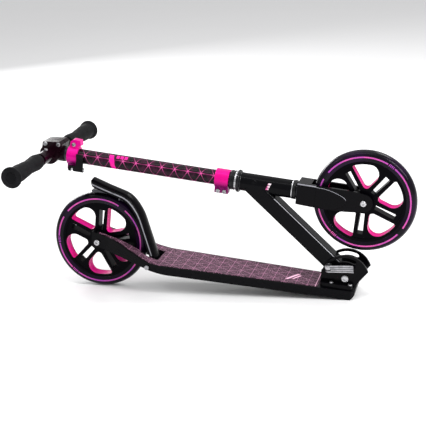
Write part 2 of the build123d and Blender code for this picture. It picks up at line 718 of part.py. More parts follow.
def headset_cup(face, inwards, outer_r, height):
    """Cup pressed into the head tube, open outwards for its bearing."""
    with BuildPart() as cup:
        with BuildSketch(stem_at(face)):
            Circle(outer_r)
        extrude(amount=-inwards * height)
        with BuildSketch(stem_at(face)):
            Circle(HEAD_BORE_R)
        extrude(amount=inwards * CUP_SKIRT)
        with BuildSketch(stem_at(face - inwards * height)):
            Circle(HEAD_BEARING_R)
        extrude(amount=inwards * HEAD_BEARING_W, mode=Mode.SUBTRACT)
        with BuildSketch(stem_at(face)):
            Circle(STEERER_R + FREE * 2)
        extrude(amount=height + CUP_SKIRT, both=True, mode=Mode.SUBTRACT)
    return cup


cup_low = HEAD_LOW - CUP_LOW_H
cup_high = HEAD_HIGH + CUP_HIGH_H
save(headset_cup(HEAD_LOW, 1, CUP_LOW_R, CUP_LOW_H), "headset_lower_cup")
save(headset_cup(HEAD_HIGH, -1, CUP_HIGH_R, CUP_HIGH_H), "headset_upper_cup")
with BuildPart() as headset_bearings:
    for start in (cup_low, cup_high - HEAD_BEARING_W):
        with BuildSketch(stem_at(start)):
            Circle(HEAD_BEARING_R)
            Circle(STEERER_R + FIT, mode=Mode.SUBTRACT)
        extrude(amount=HEAD_BEARING_W)
save(headset_bearings, "headset_bearings")

# ============================================================= fold release


def cam_lever(centre, along, pin_dir, cam_r, length, height, arm_low, arm_high, gap):
    """Quick release lever: two cam discs on one pin and an arm that joins them.

    The arm lies beside the pin on its outer side, from arm_low to arm_high along
    the pin; the gap between the discs lets the skewer's end pass.
    """
    plane = Plane(origin=centre, x_dir=along, z_dir=pin_dir)
    side = 1 if plane.y_dir.Y > 0 else -1
    outer = -side * cam_r
    low = min(arm_low, -height / 2)
    with BuildPart() as lever:
        with BuildSketch(plane.offset(low)):
            Circle(cam_r)
            Polygon((0, outer), (cam_r + LEVER_T, outer), (cam_r + LEVER_T, outer + side * LEVER_T),
                    (0, outer + side * LEVER_T), align=None)
        extrude(amount=height / 2 - low)
        with BuildSketch(plane.offset(arm_low)):
            Polygon((cam_r, outer), (length - 9, outer), (length, outer - side * 2.5),
                    (length, outer + side * (LEVER_T - 2.5)),
                    (length - 9, outer + side * LEVER_T), (cam_r, outer + side * LEVER_T),
                    align=None)
        extrude(amount=arm_high - arm_low)
        with BuildSketch(plane.offset(-gap)):
            with Locations((gap + 1, 0)):
                Rectangle(4 * cam_r, 3 * cam_r, align=(Align.MAX, Align.CENTER))
        extrude(amount=2 * gap, mode=Mode.SUBTRACT)
        with BuildSketch(plane.offset(low - 1)):
            Circle(LEVER_PIN_R)
        extrude(amount=2 * (height - low), mode=Mode.SUBTRACT)
    return lever


def skewer(centre, r, y_cam, y_end, pin_dir):
    """Skewer from its cam pin on the -Y side to the nut on the +Y side."""
    tip = max(LEVER_PIN_R + PIN_WALL, 0.75 * r)
    with BuildPart() as rod:
        with BuildSketch(along_y(Vector(centre.X, y_cam - tip, centre.Z))):
            Circle(r)
        extrude(amount=y_end - y_cam + tip)
        with BuildSketch(Plane(origin=(centre.X, y_cam, centre.Z), z_dir=pin_dir)):
            Circle(LEVER_PIN_R + FIT)
        extrude(amount=2 * r, both=True, mode=Mode.SUBTRACT)
    return rod


def cam_pin(centre, low, high, pin_dir):
    """Pin of a quick release lever, between two distances along its axis."""
    return tube(Plane(origin=centre + pin_dir * low, z_dir=pin_dir), LEVER_PIN_R, 0, high - low)


lever_dir = from_axle(cos(radians(FOLD_LEVER_TILT)), sin(radians(FOLD_LEVER_TILT)))
lever_pin_dir = from_axle(-sin(radians(FOLD_LEVER_TILT)), cos(radians(FOLD_LEVER_TILT)))
fold_cam_y = -(plate_out + SEAT + CUP_WASHER_T + SEAT + FOLD_CAM_R)
fold_cam = Vector(skewer_at.X, fold_cam_y, skewer_at.Z)
save(skewer(skewer_at, SKEWER_R, fold_cam_y, plate_out + SEAT + NUT_GRIP, lever_pin_dir),
     "fold_skewer")
save(cap_nut(skewer_at, plate_out + SEAT, SKEWER_R, CUP_WASHER_R, PIVOT_HEAD_H,
             plate_out + SEAT + NUT_GRIP), "fold_skewer_nut")
save(cross_rod(skewer_at, CUP_WASHER_R, -plate_out - SEAT - CUP_WASHER_T, -plate_out - SEAT,
               SKEWER_R), "fold_cam_washer")
save(cam_lever(fold_cam, lever_dir, lever_pin_dir, FOLD_CAM_R, FOLD_LEVER_L, FOLD_LEVER_H,
               -FOLD_LEVER_H / 2, FOLD_LEVER_H / 2, SKEWER_R + FREE), "fold_lever")
save(cam_pin(fold_cam, -FOLD_LEVER_H / 2, FOLD_LEVER_H / 2, lever_pin_dir), "fold_lever_pin")

# ==================================================================== fork
with BuildPart() as fork:
    with BuildSketch(stem_side):
        with BuildLine():
            edge = Polyline((CROWN_HIGH, -CROWN_BACK), (CROWN_HIGH, BLADE_TOP),
                            (BLADE_END_R + 8, BLADE_TOP))
            nose = Spline(edge @ 1, (0, BLADE_END_R), tangents=(edge % 1, (-1, -0.2)))
            tip = ThreePointArc((0, BLADE_END_R), (-BLADE_END_R, 0), (0, -BLADE_END_R))
            belly = Spline((0, -BLADE_END_R), (60, -BLADE_BELLY), (CROWN_LOW, -BLADE_BELLY),
                           (CROWN_HIGH, -CROWN_BACK))
        make_face()
    extrude(amount=blade_out, both=True)
    with BuildSketch(stem_side) as panel:
        with BuildLine():
            Spline((CROWN_HIGH, BLADE_TOP - 3), (CROWN_LOW - 20, BLADE_TOP - 3),
                   (PANEL_END + 20, BLADE_TOP - 9), (PANEL_END, 0),
                   (PANEL_END + 20, 4 - BLADE_BELLY), (CROWN_LOW - 10, 3 - BLADE_BELLY),
                   (CROWN_HIGH, 3 - CROWN_BACK))
            Line((CROWN_HIGH, 3 - CROWN_BACK), (CROWN_HIGH, BLADE_TOP - 3))
        make_face()
    extrude(amount=blade_out + PANEL_T, both=True)
    fillet(edges().group_by(Axis.Y)[0] + edges().group_by(Axis.Y)[-1], radius=PANEL_ROUND)
    with BuildSketch(stem_at(CROWN_LOW)):
        with Locations(((CROWN_FRONT - CROWN_BACK) / 2, 0)):
            RectangleRounded(CROWN_FRONT + CROWN_BACK, CROWN_W, 6)
    extrude(amount=CROWN_HIGH - CROWN_LOW)
    # room for the wheel between the blades and under the crown
    with BuildSketch(stem_side):
        Rectangle(2 * (WHEEL_R + TYRE_GAP), 4 * BLADE_BELLY)
    extrude(amount=half_gap, both=True, mode=Mode.SUBTRACT)
    with BuildSketch(stem_at(CROWN_LOW)):
        Circle(STEERER_R)
    extrude(amount=CROWN_HIGH, mode=Mode.SUBTRACT)
    with BuildSketch(stem_side):
        Circle(AXLE_R)
    extrude(amount=CROWN_W, both=True, mode=Mode.SUBTRACT)
save(fork, "fork")

steerer_low = WHEEL_R + TYRE_GAP
save(tube(stem_at(steerer_low), STEERER_R, STEERER_R - STEERER_WALL, STEERER_TOP - steerer_low),
     "steerer")
save(tube(stem_at(CROWN_HIGH), HEAD_BEARING_R - 1, STEERER_R, cup_low - SEAT - CROWN_HIGH),
     "crown_race")
collar_low = cup_high + SEAT
save(tube(stem_at(collar_low), COLLAR_R, STEERER_R, COLLAR_H), "headset_collar")

# ==================================================================== stem
stem_low = collar_low + COLLAR_H
low_clamp_s = stem_low + 2
with BuildPart() as stem_tube:
    with BuildSketch(stem_at(stem_low)):
        Circle(STEM_R)
        Circle(STEM_R - STEM_WALL, mode=Mode.SUBTRACT)
    extrude(amount=STEM_TOP - stem_low)
    for end in (stem_low, STEM_TOP):
        with BuildSketch(stem_side):
            with Locations((end, -STEM_R)):
                Rectangle(2 * TUBE_SLIT_L, STEM_R)
        extrude(amount=CLAMP_SLIT / 4, both=True, mode=Mode.SUBTRACT)
save(stem_tube, "stem_tube")


def tube_clamp(start, height, outer_r, bolt_positions, bolt_r):
    """Ring round the stem tube with two ears behind it, split and bored across."""
    ear_w = CLAMP_SLIT + 2 * EAR_T
    with BuildPart() as clamp:
        with BuildSketch(stem_at(start)):
            Circle(outer_r)
            with Locations((0, 0)):
                Rectangle(EAR_REACH, ear_w, align=(Align.MAX, Align.CENTER))
        extrude(amount=height)
        fillet(edges().filter_by(stem_axis), radius=2)
        fillet(edges().group_by(stem_axis)[0], radius=1.2)
        fillet(edges().group_by(stem_axis)[-1], radius=1.2)
        with BuildSketch(stem_at(start)):
            Circle(STEM_R)
            Rectangle(2 * EAR_REACH, CLAMP_SLIT, align=(Align.MAX, Align.CENTER))
        extrude(amount=height, mode=Mode.SUBTRACT)
        for s in bolt_positions:
            with BuildSketch(stem_side):
                with Locations((s, -CLAMP_BOLT_T)):
                    Circle(bolt_r)
            extrude(amount=ear_w, both=True, mode=Mode.SUBTRACT)
    return clamp


ear_face = CLAMP_SLIT / 2 + EAR_T
low_bolt_s = (low_clamp_s + 8, low_clamp_s + LOW_CLAMP_H - 8)
save(tube_clamp(low_clamp_s, LOW_CLAMP_H, LOW_CLAMP_R, low_bolt_s, CLAMP_BOLT_R), "lower_clamp")
with BuildPart() as lower_clamp_bolts:
    for s in low_bolt_s:
        at = front_axle + stem_s_dir * s - stem_t_dir * CLAMP_BOLT_T
        add(hex_bolt(at, -ear_face, ear_face + 4, CLAMP_BOLT_R, BOLT_HEAD_R, BOLT_HEAD_H).part)
save(lower_clamp_bolts, "lower_clamp_bolts")

top_bolt_s = TOP_CLAMP_S + 9
stop_s = TOP_CLAMP_S + STOP_BOLT_S
with BuildPart() as upper_clamp:
    add(tube_clamp(TOP_CLAMP_S, TOP_CLAMP_H, TOP_CLAMP_R, (top_bolt_s,), TOP_SKEWER_R).part)
    # lobe in front of the tube with the bolt that stops the mast
    with BuildSketch(stem_side):
        Polygon((TOP_CLAMP_S + 1, STEM_R - 2), (TOP_CLAMP_S + TOP_CLAMP_H - 2, STEM_R - 2),
                (TOP_CLAMP_S + TOP_CLAMP_H - 5, STOP_LOBE - 5),
                (TOP_CLAMP_S + 13, STOP_LOBE), (TOP_CLAMP_S - 3, STOP_LOBE - 1),
                (TOP_CLAMP_S - 5, STOP_LOBE - 12), (TOP_CLAMP_S + 1, STEM_R + 6), align=None)
        fillet(vertices().sort_by(Axis(front_axle, stem_t_dir))[-4:], radius=2.5)
        with Locations((stop_s, STOP_BOLT_T)):
            Circle(CLAMP_BOLT_R, mode=Mode.SUBTRACT)
    extrude(amount=STOP_LOBE_W / 2, both=True)
    with BuildSketch(stem_at(TOP_CLAMP_S)):
        Circle(STEM_R)
    extrude(amount=TOP_CLAMP_H, mode=Mode.SUBTRACT)
save(upper_clamp, "upper_clamp")
save(hex_bolt(front_axle + stem_s_dir * stop_s + stem_t_dir * STOP_BOLT_T, -STOP_LOBE_W / 2,
              STOP_LOBE_W / 2, CLAMP_BOLT_R, BOLT_HEAD_R, BOLT_HEAD_H), "clamp_stop_bolt")
top_skewer_at = front_axle + stem_s_dir * top_bolt_s - stem_t_dir * CLAMP_BOLT_T
top_cam_y = -(ear_face + SEAT + CUP_WASHER_T + SEAT + TOP_CAM_R)
top_cam = Vector(top_skewer_at.X, top_cam_y, top_skewer_at.Z)
save(skewer(top_skewer_at, TOP_SKEWER_R, top_cam_y, ear_face + NUT_GRIP, stem_s_dir),
     "clamp_skewer")
save(cap_nut(top_skewer_at, ear_face, TOP_SKEWER_R, TOP_NUT_R, TOP_NUT_R, ear_face + NUT_GRIP),
     "clamp_nut")
save(cross_rod(top_skewer_at, TOP_NUT_R, -ear_face - SEAT - CUP_WASHER_T, -ear_face - SEAT,
               TOP_SKEWER_R), "clamp_cam_washer")
arm_high = TOP_CLAMP_S - FREE - top_bolt_s
save(cam_lever(top_cam, stem_t_dir, stem_s_dir, TOP_CAM_R, TOP_LEVER_L, TOP_LEVER_H,
               arm_high - TOP_LEVER_H, arm_high, TOP_SKEWER_R + FREE), "clamp_lever")
save(cam_pin(top_cam, arm_high - TOP_LEVER_H, TOP_LEVER_H / 2, stem_s_dir), "clamp_lever_pin")
save(tube(stem_at(STEM_TOP - BUSH_H), STEM_R - STEM_WALL, MAST_R + FIT, BUSH_H), "mast_bush")

# =============================================================== handlebar
bar_centre = front_axle + stem_s_dir * BAR_S
with BuildPart() as mast:
    with BuildSketch(stem_at(MAST_LOW)):
        Circle(MAST_R)
        Circle(MAST_R - MAST_WALL, mode=Mode.SUBTRACT)
    extrude(amount=BAR_S - BLOCK_R + 4 - MAST_LOW)
save(mast, "mast")

sides = (("left", 1), ("right", -1))
button_planes = {
    name: Plane(origin=bar_centre + Vector(0, side * BUTTON_Y, 0), x_dir=(0, 1, 0),
                z_dir=stem_t_dir)
    for name, side in sides}
with BuildPart() as bar_block:
    with BuildSketch(along_y(bar_centre)):
        Circle(BLOCK_R)
    extrude(amount=BLOCK_W / 2, both=True)
    with BuildSketch(stem_side):
        Polygon((SOCKET_S + 4, SOCKET_R - 4), (SOCKET_S + 2, BLOCK_NOSE - 6),
                (SOCKET_S + 8, BLOCK_NOSE), (BAR_S + BLOCK_R - 6, BLOCK_NOSE - 4),
                (BAR_S + BLOCK_R - 4, 0), (BAR_S, -BLOCK_R + 6), align=None)
    extrude(amount=BLOCK_W / 2, both=True)
    with BuildSketch(stem_at(SOCKET_S)):
        Circle(SOCKET_R)
    extrude(amount=BAR_S - SOCKET_S)
    with BuildSketch(along_y(bar_centre)):
        Circle(SLEEVE_R)
    extrude(amount=SLEEVE_W / 2, both=True)
    with BuildSketch(along_y(bar_centre)):
        Circle(BAR_R)
    extrude(amount=SLEEVE_W, both=True, mode=Mode.SUBTRACT)
    with BuildSketch(stem_at(SOCKET_S - 1)):
        Circle(MAST_R)
    extrude(amount=BAR_S - BLOCK_R + 5 - SOCKET_S, mode=Mode.SUBTRACT)
    # slit of the nose, its bolts' bores and the holes for the spring buttons
    with BuildSketch(stem_side):
        with Locations((BAR_S - BLOCK_R, BAR_R)):
            Rectangle(3 * BLOCK_R, BLOCK_NOSE, align=(Align.CENTER, Align.MIN))
    extrude(amount=CLAMP_SLIT / 4, both=True, mode=Mode.SUBTRACT)
    block_bolt_s = (SOCKET_S + 9, BAR_S + 9)
    with BuildSketch(stem_side):
        with Locations(*[(s, BLOCK_BOLT_T - (0 if s < BAR_S else 2)) for s in block_bolt_s]):
            Circle(CLAMP_BOLT_R)
    extrude(amount=BLOCK_W, both=True, mode=Mode.SUBTRACT)
    for button_plane in button_planes.values():
        with BuildSketch(button_plane):
            Circle(BUTTON_R + FIT)
        extrude(amount=2 * SLEEVE_R, mode=Mode.SUBTRACT)
save(bar_block, "bar_block")

with BuildPart() as block_bolts:
    for s in block_bolt_s:
        reach = BLOCK_BOLT_T - (0 if s < BAR_S else 2)
        at = front_axle + stem_s_dir * s + stem_t_dir * reach
        face = BLOCK_W / 2
        add(hex_bolt(at, -face, face, CLAMP_BOLT_R, BOLT_HEAD_R, BOLT_HEAD_H).part)
save(block_bolts, "block_bolts")

with BuildPart() as bar_tubes:
    for name, side in sides:
        with BuildSketch(Plane(origin=bar_centre + Vector(0, side * FREE / 2, 0),
                               x_dir=(1, 0, 0), z_dir=(0, side, 0))):
            Circle(BAR_R)
            Circle(BAR_R - BAR_WALL, mode=Mode.SUBTRACT)
        extrude(amount=BAR_W / 2 - END_PLUG_T - FREE / 2)
        with BuildSketch(button_planes[name]):
            Circle(BUTTON_R + FIT)
        extrude(amount=2 * BAR_R, mode=Mode.SUBTRACT)
save(bar_tubes, "bar_tubes")

# half section of a grip: x along the bar from its middle, y from its axis
grip_in = BAR_W / 2 - GRIP_L
grip_out = BAR_W / 2
with BuildPart() as grips:
    for name, side in sides:
        with BuildSketch(Plane(origin=bar_centre, x_dir=(0, side, 0), z_dir=(-side, 0, 0))):
            with BuildLine():
                Polyline((grip_in, BAR_R), (grip_in, INNER_FLANGE_R),
                         (grip_in + FLANGE_T, INNER_FLANGE_R), (grip_in + 2 * FLANGE_T, GRIP_R))
                Spline((grip_in + 2 * FLANGE_T, GRIP_R), (grip_in + GRIP_L * 0.4, GRIP_WAIST_R),
                       (grip_in + GRIP_L * 0.7, GRIP_R + 0.8), (grip_out - 2.5 * FLANGE_T, GRIP_R))
                Polyline((grip_out - 2.5 * FLANGE_T, GRIP_R), (grip_out - 1.5 * FLANGE_T, FLANGE_R),
                         (grip_out, FLANGE_R), (grip_out, BAR_R - BAR_WALL),
                         (grip_out - END_PLUG_T, BAR_R - BAR_WALL),
                         (grip_out - END_PLUG_T, BAR_R), (grip_in, BAR_R))
            make_face()
        revolve(axis=Axis(bar_centre, (0, 1, 0)))
save(grips, "grips")

with BuildPart() as end_plugs:
    for name, side in sides:
        with BuildSketch(Plane(origin=bar_centre + Vector(0, side * BAR_W / 2, 0),
                               x_dir=(1, 0, 0), z_dir=(0, side, 0))):
            Circle(BAR_R - BAR_WALL)
        extrude(amount=-3 * END_PLUG_T)
save(end_plugs, "end_plugs")

button_low = BAR_R - BAR_WALL - BUTTON_ROOT
for name, side in sides:
    with BuildPart() as button:
        with BuildSketch(button_planes[name].offset(button_low)):
            Circle(BUTTON_R)
        extrude(amount=SLEEVE_R + BUTTON_STAND - button_low)
        fillet(edges().sort_by(Axis(bar_centre, stem_t_dir))[-1], radius=1.5)
    save(button, f"spring_button_{name}")

# ============================================================== foot brake
fender_pivot = rear_axle + from_axle(FENDER_PIVOT_X, FENDER_PIVOT_Z)
crown_line = ((137.5, FENDER_PIVOT_Z - 1), (95, 81), (66, 113), (15, 127), (-22, 139))
with BuildPart() as fender:
    with BuildLine(deck_side) as crown_path:
        FilletPolyline(*crown_line, radius=[120, 60, 60])
    start = crown_path.line @ 0
    half_w = FENDER_W / 2
    with BuildSketch(Plane(origin=start, x_dir=(0, 1, 0), z_dir=crown_path.line % 0)):
        with BuildLine():
            outer = ThreePointArc((-half_w, FENDER_FALL), (0, 0), (half_w, FENDER_FALL))
            inner = ThreePointArc((half_w - FENDER_T, FENDER_FALL), (0, FENDER_T),
                                  (FENDER_T - half_w, FENDER_FALL))
            Line(outer @ 1, inner @ 0)
            Line(inner @ 1, outer @ 0)
        make_face()
    sweep(path=crown_path.line)
    with BuildSketch(plan_at(FENDER_PIVOT_Z - 3 * FENDER_LUG_R)):
        with Locations((crown_line[-1][0] - FENDER_T, 0)):
            Rectangle(WHEEL_R * 2, FENDER_W + 2, align=(Align.MIN, Align.CENTER))
        fillet(vertices().sort_by(Axis(rear_axle, deck_x_dir))[:2], radius=FENDER_TAIL_R)
    extrude(amount=2 * WHEEL_R, mode=Mode.INTERSECT)
    for side in (-1, 1):
        lug_plane = side_at(side * (half_w - FENDER_LUG_T / 2))
        with BuildSketch(lug_plane):
            with Locations((FENDER_PIVOT_X, FENDER_PIVOT_Z)):
                Circle(FENDER_LUG_R)
            with Locations((FENDER_PIVOT_X - FENDER_WEB / 2, FENDER_PIVOT_Z)):
                Rectangle(FENDER_WEB, 2 * FENDER_WEB, align=(Align.MIN, Align.MIN))
        extrude(amount=FENDER_LUG_T / 2, both=True)
    with BuildSketch(along_y(fender_pivot)):
        Circle(FENDER_PIN_R + FIT)
    extrude(amount=FENDER_W, both=True, mode=Mode.SUBTRACT)
    # bores of the rivets that hold the brake pad
    rivet_at = rear_axle + from_axle(*polar(WHEEL_R + PAD_GAP + PAD_T / 2, RIVET_ANGLE))
    with BuildSketch(along_y(rivet_at)):
        Circle(RIVET_R)
    extrude(amount=FENDER_W, both=True, mode=Mode.SUBTRACT)
save(fender, "fender")

# brake pad: a steel channel under the crown, riveted through the fender's flanks
pad_inner = WHEEL_R + PAD_GAP
pad_half = half_w - FENDER_T - 3
pad_start = rear_axle + from_axle(*polar(pad_inner, PAD_FROM))
with BuildPart() as brake_pad:
    with BuildSketch(Plane(origin=pad_start, x_dir=(0, 1, 0),
                           z_dir=from_axle(*polar(1, PAD_FROM + 90)))):
        # local y points to the axle
        Rectangle(2 * pad_half, PAD_T, align=(Align.CENTER, Align.MAX))
    revolve(axis=Axis(rear_axle, (0, -1, 0)), revolution_arc=PAD_TO - PAD_FROM)
    with BuildSketch(along_y(rivet_at)):
        Circle(RIVET_R)
    extrude(amount=FENDER_W, both=True, mode=Mode.SUBTRACT)
save(brake_pad, "brake_pad")

with BuildPart() as brake_rivets:
    for side in (-1, 1):
        with BuildSketch(Plane(origin=rivet_at + Vector(0, side * RIVET_IN, 0),
                               x_dir=(1, 0, 0), z_dir=(0, side, 0))):
            Circle(RIVET_R)
        extrude(amount=half_w + RIVET_STAND - RIVET_IN)
save(brake_rivets, "brake_rivets")

# pin of the foot brake through both arms, with its nut on the far side
side_face = DECK_REAR_W / 2
save(hex_bolt(fender_pivot, -side_face, side_face + NUT_GRIP, FENDER_PIN_R, FENDER_HEAD_R,
              FENDER_HEAD_H), "fender_pin")
save(cap_nut(fender_pivot, side_face, FENDER_PIN_R, FENDER_HEAD_R, FENDER_HEAD_H + 1,
             side_face + NUT_GRIP), "fender_nut")

with BuildPart() as torsion_spring:
    coil_r = FENDER_PIN_R + SPRING_WIRE_R + FREE
    with BuildSketch(Plane(origin=fender_pivot, x_dir=(1, 0, 0), z_dir=(0, 1, 0))):
        Circle(coil_r + SPRING_WIRE_R)
        Circle(coil_r - SPRING_WIRE_R, mode=Mode.SUBTRACT)
    extrude(amount=SPRING_TURNS * SPRING_WIRE_R, both=True)
save(torsion_spring, "torsion_spring")
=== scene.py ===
"""Folding kick scooter: finishes and detailed pieces on the fixed frame.

Every length is in metres and every place is in the row frame: X runs along the
folded scooter to its front wheel, Y to the side away from the fold lever, Z up.
"""
import json
import logging
import math
from dataclasses import dataclass
from enum import Enum
from typing import Iterable, Sequence

import bpy
from mathutils import Matrix, Vector


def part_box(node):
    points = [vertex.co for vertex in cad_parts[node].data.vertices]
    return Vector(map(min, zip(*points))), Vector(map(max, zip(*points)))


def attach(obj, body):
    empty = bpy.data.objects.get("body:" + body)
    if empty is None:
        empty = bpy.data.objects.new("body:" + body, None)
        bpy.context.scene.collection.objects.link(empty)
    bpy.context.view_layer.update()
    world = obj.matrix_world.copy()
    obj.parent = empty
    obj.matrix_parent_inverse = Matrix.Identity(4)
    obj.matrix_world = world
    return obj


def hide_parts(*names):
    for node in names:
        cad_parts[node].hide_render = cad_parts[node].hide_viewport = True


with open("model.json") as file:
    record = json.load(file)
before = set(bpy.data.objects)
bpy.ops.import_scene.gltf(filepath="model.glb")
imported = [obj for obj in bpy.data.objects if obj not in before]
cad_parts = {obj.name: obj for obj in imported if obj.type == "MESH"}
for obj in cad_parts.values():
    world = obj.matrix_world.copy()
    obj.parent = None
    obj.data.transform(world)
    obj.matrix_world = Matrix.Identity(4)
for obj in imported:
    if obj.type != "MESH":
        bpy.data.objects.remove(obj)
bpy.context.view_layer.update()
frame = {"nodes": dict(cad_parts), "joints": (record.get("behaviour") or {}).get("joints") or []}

LOG = logging.getLogger("scooter")
Colour = tuple[float, float, float]
Profile = Sequence[tuple[float, float]]
Socket = bpy.types.NodeSocket
Material = bpy.types.Material
X, Y, Z = (Vector(axis) for axis in ((1, 0, 0), (0, 1, 0), (0, 0, 1)))
NECK_DROP = 38.5  # slope of the neck against the deck when folded, degrees
PIVOT_AHEAD = 0.5485  # fold pivot in front of the rear axle, along the deck
PIVOT_BELOW = 0.002  # and below it, square to the deck
BLACK_GLOSS = 0.075  # specular level of the gloss black paints
RING_STEPS = 96  # faces round a headset ring


class Side(Enum):
    """The two sides of the scooter along Y."""

    NEAR = -1
    FAR = 1


class End(Enum):
    """The two wheels."""

    REAR = "rear"
    FRONT = "front"


# ------------------------------------------------------------------ layout
@dataclass(frozen=True)
class Layout:
    """Points and directions of the frame that pieces and patterns are placed by.

    Args:
        rear_axle: middle of the rear axle.
        front_axle: middle of the front axle.
        deck_along: forward direction of the deck.
        deck_up: direction square to the deck's top.
        stem_along: direction from the front axle to the handlebar.
        stem_up: direction square to the stem that points up when folded.
        neck_up: direction square to the neck's box tube that points up when folded.
    """

    rear_axle: Vector
    front_axle: Vector
    deck_along: Vector
    deck_up: Vector
    stem_along: Vector
    stem_up: Vector
    neck_up: Vector

    def on_stem(self, along: float, up: float = 0.0, side: float = 0.0) -> Vector:
        """Point in the row frame from stem coordinates."""
        return (self.front_axle + self.stem_along * along + self.stem_up * up
                + Vector((0, side, 0)))


def read_layout() -> Layout:
    """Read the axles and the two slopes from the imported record.

    Returns:
        The layout of the folded scooter.
    """
    joints = {joint["name"]: joint for joint in frame["joints"]}
    along = Vector(joints["steer"]["axis"]).normalized()
    pivot = Vector(joints["fold"]["pos_m"])
    rear = Vector(joints["rear_wheel_spin"]["pos_m"])
    lean = (math.atan2(-PIVOT_BELOW, PIVOT_AHEAD)
            - math.atan2(pivot.z - rear.z, pivot.x - rear.x))
    deck_along = Vector((math.cos(lean), 0, -math.sin(lean)))
    slope = lean + math.radians(NECK_DROP)
    return Layout(
        rear_axle=rear,
        front_axle=Vector(joints["front_wheel_spin"]["pos_m"]),
        deck_along=deck_along,
        deck_up=Vector((math.sin(lean), 0, math.cos(lean))),
        stem_along=along,
        stem_up=Vector((-along.z, 0, along.x)) * (1 if along.x > 0 else -1),
        neck_up=Vector((math.sin(slope), 0, math.cos(slope))),
    )


# ------------------------------------------------------------- node helpers
class NodeSheet:
    """A material's node tree with short calls to add and join its nodes."""

    def __init__(self, name: str) -> None:
        """Start a material with one shader and its output."""
        self.material = bpy.data.materials.new(name)
        self.material.use_nodes = True
        self.tree = self.material.node_tree
        self.tree.nodes.clear()
        self.shader = self.tree.nodes.new("ShaderNodeBsdfPrincipled")
        output = self.tree.nodes.new("ShaderNodeOutputMaterial")
        self.join(self.shader.outputs["BSDF"], output.inputs["Surface"])
        self._coords: Socket | None = None

    def join(self, source: Socket, target: Socket) -> None:
        """Join an output to an input."""
        self.tree.links.new(source, target)

    def feed(self, value: object, target: Socket) -> None:
        """Join value to target when it is a socket, or set it there."""
        if isinstance(value, Socket):
            self.join(value, target)
        else:
            target.default_value = value

    def set(self, **constants: object) -> None:
        """Set constants on the shader's own sockets; _ stands for a space."""
        for key, value in constants.items():
            socket = self.shader.inputs[key.replace("_", " ")]
            if isinstance(value, tuple) and len(value) == 3:
                value = (*value, 1.0)
            socket.default_value = value

    def drive(self, **sockets: Socket) -> None:
        """Join varying sockets to the shader; _ stands for a space."""
        for key, value in sockets.items():
            self.join(value, self.shader.inputs[key.replace("_", " ")])

    def coords(self) -> Socket:
        """Object coordinates."""
        if self._coords is None:
            self._coords = self.tree.nodes.new("ShaderNodeTexCoord").outputs["Object"]
        return self._coords

    def facing(self) -> Socket:
        """The surface's normal in the piece's own frame."""
        return self.coords().node.outputs["Normal"]

    def math(self, operation: str, *values: object) -> Socket:
        """One step of arithmetic.

        Args:
            operation: name of the operation.
            values: up to three sockets or numbers.

        Returns:
            The result.
        """
        node = self.tree.nodes.new("ShaderNodeMath")
        node.operation = operation
        for value, target in zip(values, node.inputs):
            self.feed(value, target)
        return node.outputs[0]

    def times(self, first: object, *others: object) -> object:
        """Product of sockets and numbers."""
        for other in others:
            first = self.math("MULTIPLY", first, other)
        return first

    def offset(self, origin: Vector) -> Socket:
        """Object coordinates measured from origin."""
        node = self.tree.nodes.new("ShaderNodeVectorMath")
        node.operation = "SUBTRACT"
        self.join(self.coords(), node.inputs[0])
        node.inputs[1].default_value = origin
        return node.outputs[0]

    def along(self, vector: Socket, direction: Vector) -> Socket:
        """Length of vector along direction."""
        node = self.tree.nodes.new("ShaderNodeVectorMath")
        node.operation = "DOT_PRODUCT"
        self.join(vector, node.inputs[0])
        node.inputs[1].default_value = direction
        return node.outputs["Value"]

    def sideways(self) -> Socket:
        """Share of the surface's normal along Y, either way."""
        return self.math("ABSOLUTE", self.along(self.facing(), Y))

    def radius(self, arm: Socket) -> Socket:
        """Distance of arm from the line along Y through its origin."""
        x, z = self.along(arm, X), self.along(arm, Z)
        return self.math("SQRT", self.math("ADD", self.times(x, x), self.times(z, z)))

    def ray(self, arm: Socket, degrees: float) -> tuple[Socket, Socket]:
        """Places across and along a direction in a wheel's plane.

        Args:
            arm: place measured from the wheel's middle.
            degrees: the direction's angle from X towards Z.

        Returns:
            The place across the direction, and the place along it.
        """
        turn = math.radians(degrees)
        return (self.along(arm, Vector((-math.sin(turn), 0, math.cos(turn)))),
                self.along(arm, Vector((math.cos(turn), 0, math.sin(turn)))))

    def noise(self, size: float, detail: float = 3.0, roughness: float = 0.55,
              stretch: Colour = (1.0, 1.0, 1.0)) -> Socket:
        """Noise on Object coordinates.

        Args:
            size: size of its largest spots.
            detail: octaves.
            roughness: strength of the finer octaves.
            stretch: scale along X, Y and Z.

        Returns:
            A value about 0.5.
        """
        mapping = self.tree.nodes.new("ShaderNodeMapping")
        mapping.inputs["Scale"].default_value = stretch
        self.join(self.coords(), mapping.inputs["Vector"])
        node = self.tree.nodes.new("ShaderNodeTexNoise")
        node.inputs["Scale"].default_value = 1.0 / size
        node.inputs["Detail"].default_value = detail
        node.inputs["Roughness"].default_value = roughness
        self.join(mapping.outputs["Vector"], node.inputs["Vector"])
        return node.outputs["Fac"]

    def specks(self, size: float) -> Socket:
        """Random value of each grain of that size."""
        node = self.tree.nodes.new("ShaderNodeTexVoronoi")
        node.inputs["Scale"].default_value = 1.0 / size
        self.join(self.coords(), node.inputs["Vector"])
        split = self.tree.nodes.new("ShaderNodeSeparateColor")
        self.join(node.outputs["Color"], split.inputs["Color"])
        return split.outputs["Red"]

    def remap(self, value: object, low: float, high: float, to_low: float = 0.0,
              to_high: float = 1.0) -> Socket:
        """Smooth step of value from low..high to to_low..to_high."""
        node = self.tree.nodes.new("ShaderNodeMapRange")
        node.interpolation_type = "SMOOTHSTEP"
        self.feed(value, node.inputs["Value"])
        for key, number in (("From Min", low), ("From Max", high),
                            ("To Min", to_low), ("To Max", to_high)):
            node.inputs[key].default_value = number
        return node.outputs["Result"]

